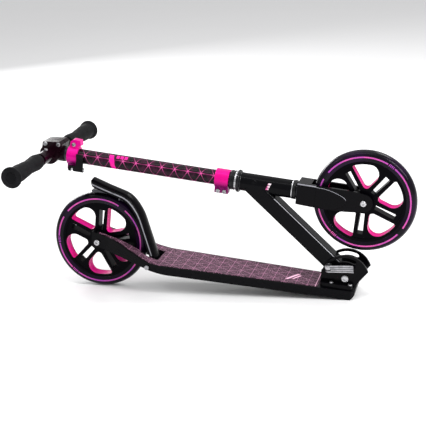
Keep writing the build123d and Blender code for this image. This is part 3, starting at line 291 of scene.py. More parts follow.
    def band(self, value: Socket, low: float, high: float,
             soft: float = 0.0003) -> Socket:
        """1 where value lies between low and high, with soft edges."""
        middle = self.math("SUBTRACT", value, (low + high) / 2)
        half = (high - low) / 2
        return self.remap(self.math("ABSOLUTE", middle), half - soft, half + soft, 1.0, 0.0)

    def mix(self, factor: object, first: object, second: object) -> Socket:
        """Blend of two colours."""
        node = self.tree.nodes.new("ShaderNodeMix")
        node.data_type = "RGBA"
        self.feed(factor, node.inputs[0])
        for value, target in ((first, node.inputs[6]), (second, node.inputs[7])):
            self.feed((*value, 1.0) if isinstance(value, tuple) else value, target)
        return node.outputs[2]

    def bump(self, height: Socket, distance: float,
             strength: float = 1.0) -> Socket:
        """Normal of a surface whose height goes from 0 to distance."""
        node = self.tree.nodes.new("ShaderNodeBump")
        node.inputs["Strength"].default_value = strength
        node.inputs["Distance"].default_value = distance
        self.join(height, node.inputs["Height"])
        return node.outputs["Normal"]

    def painted_highlight_edge(self, up: Vector, low: float, high: float) -> Socket:
        """1 along the rounded edges between a flank and the side that faces up, where a
        highlight is painted.

        Args:
            up: the way the highlighted edges face, besides outwards.
            low: least share of the normal along Y.
            high: greatest share of the normal along Y.

        Returns:
            The share of painted highlight, uneven in patches.
        """
        upwards = self.remap(self.along(self.facing(), up), 0.15, 0.45)
        patches = self.remap(self.noise(0.012, 4), 0.25, 0.5, 0.55, 1.0)
        return self.times(self.band(self.sideways(), low, high, 0.02), upwards, patches)

    def lattice(self, u: Socket, v: Socket, edge: float,
                width: float) -> tuple[Socket, Socket]:
        """Lines of a triangle lattice, with one set of lines along u.

        Args:
            u: coordinate along the first set of lines.
            v: coordinate square to it.
            edge: side of a triangle.
            width: width of a line.

        Returns:
            1 on a line, and 1 at a crossing that fades towards the triangle's middle.
        """
        row = edge * math.sqrt(3) / 2
        spread: Socket | None = None
        lines: Socket | None = None
        for turn in (0.0, math.pi / 3, -math.pi / 3):
            across = self.math("ADD", self.times(u, math.sin(turn) / row),
                               self.times(v, math.cos(turn) / row))
            away = self.math("PINGPONG", across, 0.5)
            line = self.remap(away, width / row * 0.35, width / row * 0.65, 1.0, 0.0)
            spread = away if spread is None else self.math("ADD", spread, away)
            lines = line if lines is None else self.math("MAXIMUM", lines, line)
        return lines, self.remap(spread, 0.05, 0.75, 1.0, 0.0)


# ------------------------------------------------------------------ finishes
@dataclass(frozen=True)
class PowderCoat:
    """Black or coloured paint with a fine orange peel and faint scuffs."""

    name: str
    colour: Colour
    roughness: float = 0.32
    peel: float = 0.00002

    def build(self) -> Material:
        """Make the material."""
        sheet = NodeSheet(self.name)
        clouds = sheet.noise(0.03, 4)
        scuffs = sheet.remap(sheet.noise(0.004, 6, 0.7, (1.0, 0.25, 1.0)), 0.62, 0.8)
        worn = tuple(min(1.0, value * 1.9 + 0.004) for value in self.colour)
        sheet.drive(
            Base_Color=sheet.mix(sheet.times(scuffs, 0.5), self.colour, worn),
            Roughness=sheet.math("ADD", sheet.remap(clouds, 0.3, 0.7, self.roughness - 0.05,
                                                    self.roughness + 0.07),
                                 sheet.times(scuffs, 0.12)),
            Normal=sheet.bump(sheet.noise(0.0012, 2), self.peel))
        sheet.set(Specular_IOR_Level=BLACK_GLOSS)
        return sheet.material


@dataclass(frozen=True)
class EdgedPaint:
    """Gloss black finish with a highlight painted in pale grey along its rounded upper edges.

    Args:
        name: the material's name.
        up: the way the highlighted edges face.
        low: least share of the edge's normal along Y.
        high: greatest share of the edge's normal along Y.
    """

    name: str
    up: Vector
    low: float
    high: float
    strength: float = 1.0
    roughness: float = 0.18
    colour: Colour = (0.0018, 0.0016, 0.0024)
    # pale grey of the painted highlight
    painted_highlight_grey: Colour = (0.30, 0.30, 0.33)

    def build(self) -> Material:
        """Make the material."""
        sheet = NodeSheet(self.name)
        clouds = sheet.noise(0.03, 4)
        # painted highlight along the rounded upper edges, in patches
        edge = sheet.times(sheet.painted_highlight_edge(self.up, self.low, self.high), self.strength)
        sheet.drive(Base_Color=sheet.mix(edge, self.colour, self.painted_highlight_grey),
                    Roughness=sheet.remap(clouds, 0.3, 0.7, self.roughness - 0.04,
                                          self.roughness + 0.06),
                    Normal=sheet.bump(sheet.noise(0.0012, 2), 0.00002))
        sheet.set(Specular_IOR_Level=BLACK_GLOSS)
        return sheet.material


@dataclass(frozen=True)
class PlatedMetal:
    """Bright or zinc plated metal with fine brushing along one direction."""

    name: str
    colour: Colour
    roughness: float = 0.22
    brush: Colour = (1.0, 12.0, 1.0)
    depth: float = 0.000008

    def build(self) -> Material:
        """Make the material."""
        sheet = NodeSheet(self.name)
        lines = sheet.noise(0.002, 3, 0.6, self.brush)
        stains = sheet.noise(0.012, 4)
        dull = tuple(value * 0.62 for value in self.colour)
        sheet.set(Metallic=1.0)
        sheet.drive(
            Base_Color=sheet.mix(sheet.remap(stains, 0.35, 0.75), self.colour, dull),
            Roughness=sheet.remap(lines, 0.25, 0.75, self.roughness - 0.07,
                                  self.roughness + 0.12),
            Normal=sheet.bump(lines, self.depth))
        return sheet.material


@dataclass(frozen=True)
class GroovedLever:
    """Brushed lever with grooves rolled along its length, coloured dark in the grooves as
    painted shade.

    Args:
        name: the material's name.
        origin: a point on the lever's middle line.
        across: direction across the grooves.
    """

    name: str
    origin: Vector
    across: Vector
    pitch: float = 0.0042
    metal: Colour = (0.46, 0.46, 0.48)
    groove_shade: Colour = (0.10, 0.10, 0.11)

    def build(self) -> Material:
        """Make the material."""
        sheet = NodeSheet(self.name)
        height = sheet.along(sheet.offset(self.origin), self.across)
        away = sheet.math("PINGPONG", sheet.math("DIVIDE", height, self.pitch), 0.5)
        ridge = sheet.remap(away, 0.08, 0.26)
        brush = sheet.noise(0.002, 3, 0.6, (1.0, 1.0, 14.0))
        stains = sheet.mix(sheet.remap(sheet.noise(0.006, 4), 0.35, 0.75), self.metal,
                           tuple(value * 0.55 for value in self.metal))
        relief = sheet.math("ADD", ridge, sheet.times(brush, 0.05))
        sheet.set(Metallic=1.0)
        # the grooves are coloured dark as painted shade
        sheet.drive(Base_Color=sheet.mix(ridge, self.groove_shade, stains),
                    Roughness=sheet.remap(brush, 0.25, 0.75, 0.2, 0.42),
                    Normal=sheet.bump(relief, 0.0003))
        return sheet.material


@dataclass(frozen=True)
class Anodised:
    """Coloured anodised aluminium with painted shade: darker towards the side away from up."""

    name: str
    bright: Colour
    painted_shade: Colour
    up: Vector
    origin: Vector
    reach: float = 0.02

    def build(self) -> Material:
        """Make the material."""
        sheet = NodeSheet(self.name)
        height = sheet.along(sheet.offset(self.origin), self.up)
        grain = sheet.noise(0.0016, 3, 0.6, (1.0, 1.0, 6.0))
        # painted shade: darker towards the lower side, with a little grain
        shade_and_grain = sheet.math("ADD", sheet.remap(height, -self.reach, self.reach * 0.4, 1.0, 0.0),
                          sheet.times(sheet.math("SUBTRACT", grain, 0.5), 0.3))
        sheet.set(Metallic=0.3, Specular_IOR_Level=0.2)
        sheet.drive(Base_Color=sheet.mix(shade_and_grain, self.bright, self.painted_shade),
                    Roughness=sheet.remap(grain, 0.3, 0.7, 0.26, 0.4),
                    Normal=sheet.bump(grain, 0.00001))
        return sheet.material


@dataclass(frozen=True)
class MouldedPlastic:
    """Injection moulded plastic with a spark eroded grain."""

    name: str
    colour: Colour
    roughness: float = 0.42
    grain: float = 0.0007
    depth: float = 0.00003

    def build(self) -> Material:
        """Make the material."""
        sheet = NodeSheet(self.name)
        spots = sheet.noise(self.grain, 2)
        clouds = sheet.noise(0.02, 4)
        pale = tuple(value * 1.7 + 0.002 for value in self.colour)
        sheet.drive(Base_Color=sheet.mix(sheet.remap(clouds, 0.4, 0.8), self.colour, pale),
                    Roughness=sheet.remap(clouds, 0.3, 0.7, self.roughness - 0.06,
                                          self.roughness + 0.08),
                    Normal=sheet.bump(spots, self.depth))
        sheet.set(Specular_IOR_Level=0.09)
        return sheet.material


@dataclass(frozen=True)
class GripRubber:
    """Soft grip compound with dust in its pores."""

    name: str = "grip_rubber"
    colour: Colour = (0.0022, 0.0022, 0.003)
    dusty: Colour = (0.010, 0.010, 0.012)

    def build(self) -> Material:
        """Make the material."""
        sheet = NodeSheet(self.name)
        pores = sheet.noise(0.0009, 4, 0.7)
        patches = sheet.noise(0.018, 4)
        sheet.drive(Base_Color=sheet.mix(sheet.remap(patches, 0.35, 0.8), self.colour,
                                         self.dusty),
                    Roughness=sheet.remap(patches, 0.3, 0.7, 0.55, 0.72),
                    Normal=sheet.bump(pores, 0.0001))
        sheet.set(Sheen_Weight=0.015, Sheen_Roughness=0.4, Specular_IOR_Level=0.14)
        return sheet.material


@dataclass(frozen=True)
class TyreRubber:
    """Cast tyre with a coloured ring printed on each side, broken into arcs.

    Args:
        name: the material's name.
        centre: middle of the wheel.
        breaks: angles in degrees of the gaps in the ring.
        dashed: angles of the gaps that hold short plain dashes.
    """

    name: str
    centre: Vector
    breaks: tuple[float, ...]
    dashed: tuple[float, ...]
    ring_low: float = 0.0937
    ring_high: float = 0.0966
    gap: float = 5.0
    overhang: float = 0.0012
    dash: float = 0.0034
    rubber: Colour = (0.002, 0.0012, 0.0035)
    purple: Colour = (0.009, 0.0012, 0.016)
    pink: Colour = (0.74, 0.10, 0.38)
    violet: Colour = (0.34, 0.05, 0.42)

    def build(self) -> Material:
        """Make the material."""
        sheet = NodeSheet(self.name)
        arm = sheet.offset(self.centre)
        radius = sheet.radius(arm)
        ring = sheet.band(radius, self.ring_low, self.ring_high, 0.0002)
        dashes = sheet.band(radius, self.ring_low - self.overhang,
                            self.ring_high + self.overhang, 0.0002)
        half = math.radians(self.gap) * self.ring_high
        for angle in self.breaks:
            away, front = sheet.ray(arm, angle)
            ahead = sheet.remap(front, 0.0, 0.001)
            close = sheet.times(sheet.band(away, -half, half), ahead)
            ring = sheet.times(ring, sheet.math("SUBTRACT", 1.0, close))
            if angle in self.dashed:
                marks = sheet.math("PINGPONG", sheet.math("DIVIDE", away, self.dash), 0.5)
                inner = sheet.band(away, -half * 0.72, half * 0.72)
                mark = sheet.times(sheet.remap(marks, 0.2, 0.3), dashes, inner, ahead)
                ring = sheet.math("MAXIMUM", ring, mark)
        ring = sheet.times(ring, sheet.remap(sheet.sideways(), 0.6, 0.8))
        clouds = sheet.noise(0.03, 4)
        tint = sheet.mix(sheet.remap(clouds, 0.3, 0.75), self.pink, self.violet)
        body = sheet.mix(sheet.remap(sheet.noise(0.05, 2), 0.35, 0.7), self.rubber,
                         self.purple)
        fine = sheet.noise(0.0011, 3)
        sheet.drive(Base_Color=sheet.mix(ring, body, tint),
                    Roughness=sheet.remap(clouds, 0.3, 0.7, 0.16, 0.26),
                    Normal=sheet.bump(fine, 0.00003))
        sheet.set(Specular_IOR_Level=0.14)
        return sheet.material


@dataclass(frozen=True)
class TwoToneRim:
    """Black cast rim whose large openings have painted inner walls.

    Args:
        name: the material's name.
        centre: middle of the wheel.
        spoke: angle in degrees of one double spoke.
    """

    name: str
    centre: Vector
    spoke: float
    inner: float = 0.0225
    outer: float = 0.0803
    spokes: int = 5
    spoke_half: float = 0.0078
    slot: tuple[float, float] = (0.02, 0.073)
    face: float = 0.0118
    black: Colour = (0.0014, 0.0012, 0.0022)
    paint: Colour = (0.68, 0.0, 0.24)
    shade: Colour = (0.52, 0.0, 0.22)

    def build(self) -> Material:
        """Make the material."""
        sheet = NodeSheet(self.name)
        arm = sheet.offset(self.centre)
        mask = sheet.times(sheet.remap(sheet.sideways(), 0.3, 0.4, 1.0, 0.0),
                           sheet.band(sheet.radius(arm), self.inner, self.outer, 0.0002),
                           sheet.band(sheet.along(arm, Y), -self.face, self.face, 0.0001))
        for index in range(self.spokes):
            away, front = sheet.ray(arm, self.spoke + 360 / self.spokes * index)
            slot = sheet.times(sheet.band(away, -self.spoke_half, self.spoke_half, 0.0002),
                               sheet.band(front, *self.slot, 0.0002))
            mask = sheet.times(mask, sheet.math("SUBTRACT", 1.0, slot))
        fine = sheet.noise(0.0012, 2)
        clouds = sheet.noise(0.03, 4)
        paint = sheet.mix(sheet.remap(clouds, 0.35, 0.75), self.paint, self.shade)
        sheet.drive(Base_Color=sheet.mix(mask, self.black, paint),
                    Roughness=sheet.remap(clouds, 0.3, 0.7, 0.24, 0.36),
                    Normal=sheet.bump(fine, 0.00002))
        sheet.set(Specular_IOR_Level=0.035)
        return sheet.material


@dataclass(frozen=True)
class GritTape:
    """Sanded deck tape printed with a triangle lattice and two plain flashes."""

    layout: Layout
    name: str = "grit_tape"
    edge: float = 0.0285
    line: float = 0.0009
    phase: float = 0.004
    base: Colour = (0.014, 0.006, 0.011)
    mauve: Colour = (0.125, 0.050, 0.088)
    pink: Colour = (0.46, 0.20, 0.33)
    flash: Colour = (0.95, 0.55, 0.72)
    strokes: tuple[tuple[tuple[float, float], tuple[float, float]], ...] = (
        ((0.437, 0.443), (-0.026, 0.012)), ((0.4475, 0.4515), (-0.020, 0.004)))
    border: tuple[float, float] = (0.4895, 0.491)

    def build(self) -> Material:
        """Make the material."""
        sheet = NodeSheet(self.name)
        arm = sheet.offset(self.layout.rear_axle)
        u = sheet.along(arm, self.layout.deck_along)
        v = sheet.along(arm, Y)
        # one set of lines runs across the deck
        lines, _ = sheet.lattice(v, sheet.math("SUBTRACT", u, self.phase), self.edge,
                                 self.line)
        grit = sheet.specks(0.0007)
        streaks = sheet.noise(0.0032, 5, 0.75, (1.0, 2.2, 1.0))
        body = sheet.mix(sheet.remap(streaks, 0.38, 0.62), self.base, self.mauve)
        # painted glints: the brightest grit specks are coloured pale pink
        painted_glint = sheet.remap(grit, 0.93, 0.97)
        body = sheet.mix(sheet.times(painted_glint, 0.6), body, self.flash)
        lines = sheet.times(lines, sheet.remap(streaks, 0.3, 0.5, 0.45, 1.0))
        body = sheet.mix(lines, body, self.pink)
        # two slanted strokes near the front, and a border line across the end
        slant = sheet.math("SUBTRACT", u, sheet.times(v, 0.55))
        stroke = sheet.band(u, *self.border)
        for across, reach in self.strokes:
            stroke = sheet.math("MAXIMUM", stroke, sheet.times(
                sheet.band(slant, *across), sheet.band(v, *reach)))
        sheet.drive(Base_Color=sheet.mix(stroke, body, self.flash),
                    Roughness=sheet.remap(grit, 0.0, 1.0, 0.6, 0.85),
                    Normal=sheet.bump(grit, 0.00035, 0.7))
        sheet.set(Specular_IOR_Level=0.2)
        return sheet.material


@dataclass(frozen=True)
class StemPrint:
    """Gloss black tube with a triangle lattice, a wide band and small bars."""

    layout: Layout
    name: str = "stem_print"
    radius: float = 0.016
    line: float = 0.0011
    phase: float = 0.3195
    turn: float = 28.0
    black: Colour = (0.006, 0.003, 0.005)
    plum: Colour = (0.04, 0.004, 0.022)
    pink: Colour = (0.80, 0.10, 0.38)
    magenta: Colour = (0.95, 0.01, 0.34)

    def build(self) -> Material:
        """Make the material."""
        sheet = NodeSheet(self.name)
        arm = sheet.offset(self.layout.front_axle)
        s = sheet.along(arm, self.layout.stem_along)
        turn = math.radians(self.turn)
        up = self.layout.stem_up
        ahead = up * math.sin(turn) - Y * math.cos(turn)
        over = up * math.cos(turn) + Y * math.sin(turn)
        around = sheet.times(sheet.math("ARCTAN2", sheet.along(arm, over),
                                        sheet.along(arm, ahead)), self.radius)
        edge = 2 * math.pi * self.radius / 4 / (math.sqrt(3) / 2)
        u = sheet.math("SUBTRACT", s, self.phase)
        lines, stars = sheet.lattice(u, around, edge, self.line)
        glow = sheet.times(lines, sheet.math("ADD", 0.3, sheet.times(stars, 0.9)))
        glow = sheet.math("MINIMUM", glow, 1.0)
        clouds = sheet.noise(0.012, 4)
        body = sheet.mix(sheet.remap(clouds, 0.4, 0.7), self.black, self.plum)
        body = sheet.mix(glow, body, self.pink)
        # a brushed band round the front half, and three bars along the top
        ragged = sheet.math("ADD", s, sheet.times(sheet.noise(0.005, 3), 0.004))
        lean = sheet.math("SUBTRACT", ragged, sheet.times(around, 0.25))
        wide = sheet.times(sheet.band(lean, 0.545, 0.5555, 0.0005),
                           sheet.band(around, -0.026, 0.012, 0.001))
        rows = sheet.math("PINGPONG", sheet.math("DIVIDE", s, 0.009), 0.5)
        bars = sheet.times(sheet.band(around, 0.004, 0.0125, 0.0005),
                           sheet.band(s, 0.512, 0.539, 0.0005),
                           sheet.remap(rows, 0.1, 0.14))
        mark = sheet.math("MAXIMUM", wide, bars)
        sheet.drive(Base_Color=sheet.mix(mark, body, self.magenta),
                    Roughness=sheet.remap(clouds, 0.3, 0.7, 0.2, 0.3),
                    Normal=sheet.bump(sheet.noise(0.0015, 2), 0.000012))
        sheet.set(Specular_IOR_Level=0.17)
        return sheet.material


@dataclass(frozen=True)
class HeadTubePaint:
    """Frame paint with three small slanted bars on each flank of the head tube."""

    layout: Layout
    name: str = "head_tube_paint"
    black: Colour = (0.0022, 0.0022, 0.003)
    white: Colour = (0.85, 0.72, 0.78)
    pink: Colour = (0.8, 0.12, 0.4)
    # pale grey of the painted highlight on the box tube's upper edges
    painted_highlight_grey: Colour = (0.42, 0.42, 0.45)

    def build(self) -> Material:
        """Make the material."""
        sheet = NodeSheet(self.name)
        arm = sheet.offset(self.layout.front_axle)
        s = sheet.along(arm, self.layout.stem_along)
        t = sheet.along(arm, self.layout.stem_up)
        y = sheet.math("ABSOLUTE", sheet.along(arm, Y))
        slant = sheet.math("ADD", s, sheet.times(t, 0.35))
        flank = sheet.remap(y, 0.012, 0.013)
        rows = sheet.remap(sheet.math("PINGPONG", sheet.math("DIVIDE", t, 0.0052), 0.5),
                           0.12, 0.17)
        bars = sheet.times(flank, rows, sheet.band(slant, 0.1985, 0.2045),
                           sheet.band(t, -0.0052, 0.0104))
        clouds = sheet.noise(0.03, 4)
        tint = sheet.mix(sheet.remap(s, 0.199, 0.204), self.white, self.pink)
        # the box tube below the head tube gets a painted highlight along its upper edges
        edge = sheet.times(sheet.painted_highlight_edge(self.layout.neck_up, 0.60, 0.82),
                           sheet.remap(t, -0.0225, -0.0215, 1.0, 0.0))
        body = sheet.mix(edge, self.black, self.painted_highlight_grey)
        sheet.drive(Base_Color=sheet.mix(bars, body, tint),
                    Roughness=sheet.remap(clouds, 0.3, 0.7, 0.16, 0.24),
                    Normal=sheet.bump(sheet.noise(0.0012, 2), 0.00002))
        sheet.set(Specular_IOR_Level=0.07)
        return sheet.material


@dataclass(frozen=True)
class BandedCup:
    """Black headset ring with a bright turned band.

    Args:
        name: the material's name.
        layout: gives the stem's axis.
        line: lowest and highest place of the band along the stem.
    """

    name: str
    layout: Layout
    line: tuple[float, float]
    black: Colour = (0.003, 0.003, 0.004)
    bright: Colour = (0.72, 0.72, 0.74)

    def build(self) -> Material:
        """Make the material."""
        sheet = NodeSheet(self.name)
        s = sheet.along(sheet.offset(self.layout.front_axle), self.layout.stem_along)
        mask = sheet.band(s, *self.line, 0.0001)
        grain = sheet.noise(0.0012, 3, 0.6)
        sheet.drive(Base_Color=sheet.mix(mask, self.black, self.bright), Metallic=mask,
                    Roughness=sheet.remap(grain, 0.3, 0.7, 0.2, 0.34),
                    Normal=sheet.bump(grain, 0.00001))
        sheet.set(Specular_IOR_Level=0.25)
        return sheet.material


@dataclass(frozen=True)
class BearingFace:
    """Steel races with a dark seal between them, drawn round an axle."""

    name: str
    centre: Vector
    steel: Colour = (0.62, 0.62, 0.64)
    seal: Colour = (0.02, 0.02, 0.024)
    seal_radii: tuple[float, float] = (0.0062, 0.0096)

    def build(self) -> Material:
        """Make the material."""
        sheet = NodeSheet(self.name)
        radius = sheet.radius(sheet.offset(self.centre))
        seal = sheet.band(radius, *self.seal_radii, 0.0001)
        fine = sheet.noise(0.0008, 3)
        sheet.drive(Base_Color=sheet.mix(seal, self.steel, self.seal),
                    Metallic=sheet.math("SUBTRACT", 1.0, seal),
                    Roughness=sheet.remap(fine, 0.3, 0.7, 0.25, 0.4),
                    Normal=sheet.bump(fine, 0.00001))
        return sheet.material


@dataclass(frozen=True)
class StudioFloor:
    """Matt pale floor with a barely visible texture."""

    name: str = "studio_floor"
    colour: Colour = (0.93, 0.93, 0.93)

    def build(self) -> Material:
        """Make the material."""
        sheet = NodeSheet(self.name)
        clouds = sheet.noise(0.4, 3)
        duller = tuple(value * 0.985 for value in self.colour)
        sheet.drive(Base_Color=sheet.mix(clouds, self.colour, duller))
        sheet.set(Roughness=0.9, Specular_IOR_Level=0.1)
        return sheet.material


# ------------------------------------------------------------ mesh helpers
def deselect_all() -> None:
    """Leave object mode with nothing selected."""
    if bpy.context.object is not None and bpy.context.object.mode != "OBJECT":
        bpy.ops.object.mode_set(mode="OBJECT")
    bpy.ops.object.select_all(action="DESELECT")


def settle(piece: bpy.types.Object, smooth_below: float = 35.0) -> bpy.types.Object:
    """Merge doubles, turn the faces outwards and smooth the shading.

    Args:
        piece: the active object, in edit mode.
        smooth_below: edges sharper than this many degrees stay sharp.

    Returns:
        The piece, in object mode.
    """
    bpy.ops.mesh.select_all(action="SELECT")
    bpy.ops.mesh.remove_doubles(threshold=0.000002)
    bpy.ops.mesh.normals_make_consistent(inside=False)
    bpy.ops.object.mode_set(mode="OBJECT")
    bpy.ops.object.shade_smooth_by_angle(angle=math.radians(smooth_below))
    return piece


def draw_outline(name: str, points: Sequence[Vector]) -> bpy.types.Object:
    """Draw a closed outline of edges by extruding one vertex from point to point.

    Args:
        name: the new object's name.
        points: its corners in the row frame.

    Returns:
        The object, active and in edit mode, with the outline selected.
    """
    deselect_all()
    bpy.ops.mesh.primitive_plane_add(size=0.001, location=points[0])
    piece = bpy.context.object
    piece.name = name
    piece.data.name = name
    bpy.ops.object.transform_apply(location=True, rotation=True, scale=True)
    bpy.ops.object.mode_set(mode="EDIT")
    bpy.ops.mesh.merge(type="CENTER")
    for here, there in zip(points, (*points[1:], points[0])):
        bpy.ops.mesh.extrude_vertices_move(
            TRANSFORM_OT_translate={"value": Vector(there) - Vector(here)})
    bpy.ops.mesh.select_all(action="SELECT")
    bpy.ops.mesh.remove_doubles(threshold=0.000002)
    return piece


def turn_piece(name: str, profile: Profile, centre: Vector, axis: Vector, radial: Vector,
               steps: int, smooth_below: float = 35.0) -> bpy.types.Object:
    """Spin a closed profile round an axis.

    Args:
        name: the new object's name.
        profile: corners as (radius, place along the axis).
        centre: a point on the axis.
        axis: direction of the axis.
        radial: direction square to it in which the profile is drawn.
        steps: faces round the piece.
        smooth_below: edges sharper than this many degrees stay sharp.

    Returns:
        The finished piece.
    """
    piece = draw_outline(name, [centre + radial * r + axis * a for r, a in profile])
    bpy.ops.mesh.select_all(action="SELECT")
    bpy.ops.mesh.spin(steps=steps, angle=2 * math.pi, center=centre, axis=axis,
                      use_auto_merge=True)
    return settle(piece, smooth_below)


def dress(piece: bpy.types.Object, material: Material) -> None:
    """Give a whole piece one material."""
    piece.data.materials.clear()
    piece.data.materials.append(material)
    for polygon in piece.data.polygons:
        polygon.material_index = 0


def turn_ring(name: str, profile: Profile, line: tuple[float, float], layout: Layout,
              body: str, node: str) -> None:
    """Spin a ring round the stem's axis, with one bright band, in place of a node.

    Args:
        name: the ring's name.
        profile: its section as (radius, place along the stem).
        line: lowest and highest place of the bright band.
        layout: gives the stem's axis.
        body: name of the body that it moves with.
        node: the frame node that it stands for.
    """
    ring = turn_piece(name, profile, layout.front_axle, layout.stem_along, Y, RING_STEPS, 40)
    dress(ring, BandedCup(f"{name}_bands", layout, line).build())
    place_piece(ring, body, "black_frame", node)


def dress_nodes(material: Material, names: Iterable[str]) -> None:
    """Give frame nodes one material and report each."""
    for name in names:
        node = frame["nodes"][name]
        if not node.material_slots:
            node.data.materials.append(material)
        for slot in node.material_slots:
            slot.material = material
        LOG.info("node %s wears %s", name, material.name)


def place_piece(piece: bpy.types.Object, body: str, slot: str, *replaced: str) -> None:
    """Let a finished piece ride on its body in place of frame nodes.

    Args:
        piece: the finished piece.
        body: name of the body that it moves with.
        slot: the record's material slot; not used.
        replaced: nodes that it stands for.
    """
    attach(piece, body)
    if replaced:
        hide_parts(*replaced)
    LOG.info("piece %s rides on %s", piece.name, body)


# ------------------------------------------------------------ sub-assemblies
@dataclass(frozen=True)
class Hardware:
    """Finishes of the bolts, pins, washers and bushes that assemblies share."""

    bright: Material
    zinc: Material
    dark: Material
    nylon: Material

    @classmethod
    def make(cls) -> "Hardware":
        """Make the shared finishes."""
        return cls(
            bright=PlatedMetal("bright_silver", (0.56, 0.56, 0.58), 0.22).build(),
            zinc=PlatedMetal("zinc_steel", (0.42, 0.42, 0.44), 0.3).build(),
            dark=PlatedMetal("dark_steel", (0.07, 0.07, 0.08), 0.4).build(),
            nylon=MouldedPlastic("nylon_black", (0.003, 0.003, 0.004), 0.35).build())


@dataclass
class Wheel:
    """One wheel: rim, tyre, bearings and axle hardware."""

    end: End
    centre: Vector
    hardware: Hardware
    spoke: float
    breaks: tuple[float, ...]
    dashed: tuple[float, ...]
    radius: float = 0.1075
    half_width: float = 0.015
    bead_radius: float = 0.086
    shoulder_radius: float = 0.097
    ring_low: float = 0.0931
    ring_high: float = 0.0972
    ring_rise: float = 0.00035
    crown_steps: int = 20

    def tyre_profile(self) -> list[tuple[float, float]]:
        """Section of the tyre: flat flanks with a raised ring and a round crown."""
        half = self.half_width
        flank = half - 0.001
        side = [(self.bead_radius, flank - 0.0006), (self.bead_radius + 0.0006, flank),
                (self.ring_low - 0.0004, half - 0.0004),
                (self.ring_low, half - 0.0004 + self.ring_rise),
                (self.ring_high, half - 0.0002),
                (self.ring_high + 0.0004, half - 0.0006)]
        reach = self.radius - self.ring_high - 0.0004
        crown = []
        for step in range(1, self.crown_steps):
            turn = math.pi * step / self.crown_steps
            crown.append((self.ring_high + 0.0004 + reach * math.sin(turn),
                          (half - 0.0006) * math.cos(turn)))
        return side + crown + [(r, -a) for r, a in reversed(side)]

    def build(self) -> None:
        """Model the tyre and dress the wheel's nodes."""
        prefix = self.end.value
        tyre = turn_piece(f"{prefix}_tyre_cast", self.tyre_profile(), self.centre,
                          Y, Z, 160, 40)
        dress(tyre, TyreRubber(f"{prefix}_tyre_rubber", self.centre, self.breaks,
                               self.dashed).build())
        place_piece(tyre, f"{prefix}_wheel", "tyre", f"{prefix}_tyre")
        dress_nodes(TwoToneRim(f"{prefix}_rim_paint", self.centre, self.spoke).build(),
                    [f"{prefix}_rim"])
        dress_nodes(BearingFace(f"{prefix}_bearing_face", self.centre).build(),
                    [f"{prefix}_bearings"])
        dress_nodes(self.hardware.bright, [f"{prefix}_axle_bolt", f"{prefix}_axle_nut"])
        dress_nodes(self.hardware.zinc, [f"{prefix}_axle_spacers"])
        dress_nodes(self.hardware.dark, [f"{prefix}_bearing_spacer"])


@dataclass
class Handlebar:
    """Bar block, mast, bar tubes, grips, plugs and spring buttons."""

    layout: Layout
    hardware: Hardware
    bar_at: float = 0.689
    half_width: float = 0.222
    length: float = 0.138
    flange: float = 0.0225
    bore: float = 0.0111
    ribs: int = 31
    rib_rise: float = 0.0005

    def swell(self, share: float) -> float:
        """Radius of the grip's body at a share of its length from the inner end.

        Args:
            share: 0 at the inner end, 1 at the outer flange.

        Returns:
            The radius in metres.
        """
        knots = ((0.0, 0.0158), (0.1, 0.0172), (0.24, 0.0160), (0.36, 0.0150),
                 (0.55, 0.0166), (0.72, 0.0180), (0.86, 0.0174), (1.0, 0.0190))
        for (here, low), (there, high) in zip(knots, knots[1:]):
            if share <= there:
                step = (share - here) / (there - here)
                return low + (high - low) * step * step * (3 - 2 * step)
        return knots[-1][1]

    def grip_profile(self) -> list[tuple[float, float]]:
        """Section of a grip: palm swell, fine ribs and a flange at the outer end."""
        start = self.half_width - self.length
        end = self.half_width
        points = [(self.bore, start), (0.0138, start), (0.0152, start + 0.0012)]
        low, high = start + 0.0045, end - 0.0135
        for index in range(self.ribs):
            middle = low + (high - low) * index / (self.ribs - 1)
            body = self.swell((middle - start) / self.length)
            points += [(body - self.rib_rise, middle - 0.0017),
                       (body, middle - 0.0009),
                       (body, middle + 0.0009),
                       (body - self.rib_rise, middle + 0.0017)]
        points += [(0.0192, end - 0.0098), (self.flange - 0.0014, end - 0.0072),
                   (self.flange - 0.0002, end - 0.0052), (self.flange, end - 0.003),
                   (self.flange - 0.0008, end - 0.0012), (self.flange - 0.003, end - 0.0002),
                   (0.0128, end - 0.0002), (0.0116, end - 0.0014), (0.0102, end - 0.0014),
                   (0.0094, end - 0.0004), (0.0094, end - 0.003), (self.bore, end - 0.003)]
        return points

    def build(self) -> None:
        """Model both grips and dress the block, bars, mast, plugs and buttons."""
        dress_nodes(PowderCoat("block_black", (0.008, 0.0015, 0.004), 0.18).build(),
                    ["bar_block"])
        dress_nodes(PowderCoat("bar_black", (0.0022, 0.0022, 0.003), 0.2).build(),
                    ["bar_tubes"])
        dress_nodes(self.hardware.zinc, ["block_bolts", "spring_button_left",
                                         "spring_button_right"])
        dress_nodes(self.hardware.dark, ["mast"])
        dress_nodes(self.hardware.nylon, ["end_plugs"])
        rubber = GripRubber().build()
        dress_nodes(rubber, ["grips"])
        centre = self.layout.on_stem(self.bar_at)
        made = []
        for side in Side:
            grip = turn_piece(f"grip_{side.name.lower()}", self.grip_profile(), centre,
                              Y * side.value, Z, 64, 30)
            dress(grip, rubber)
            made.append(grip)
        place_piece(made[0], "handlebar", "grip_rubber", "grips")
        place_piece(made[1], "handlebar", "grip_rubber")


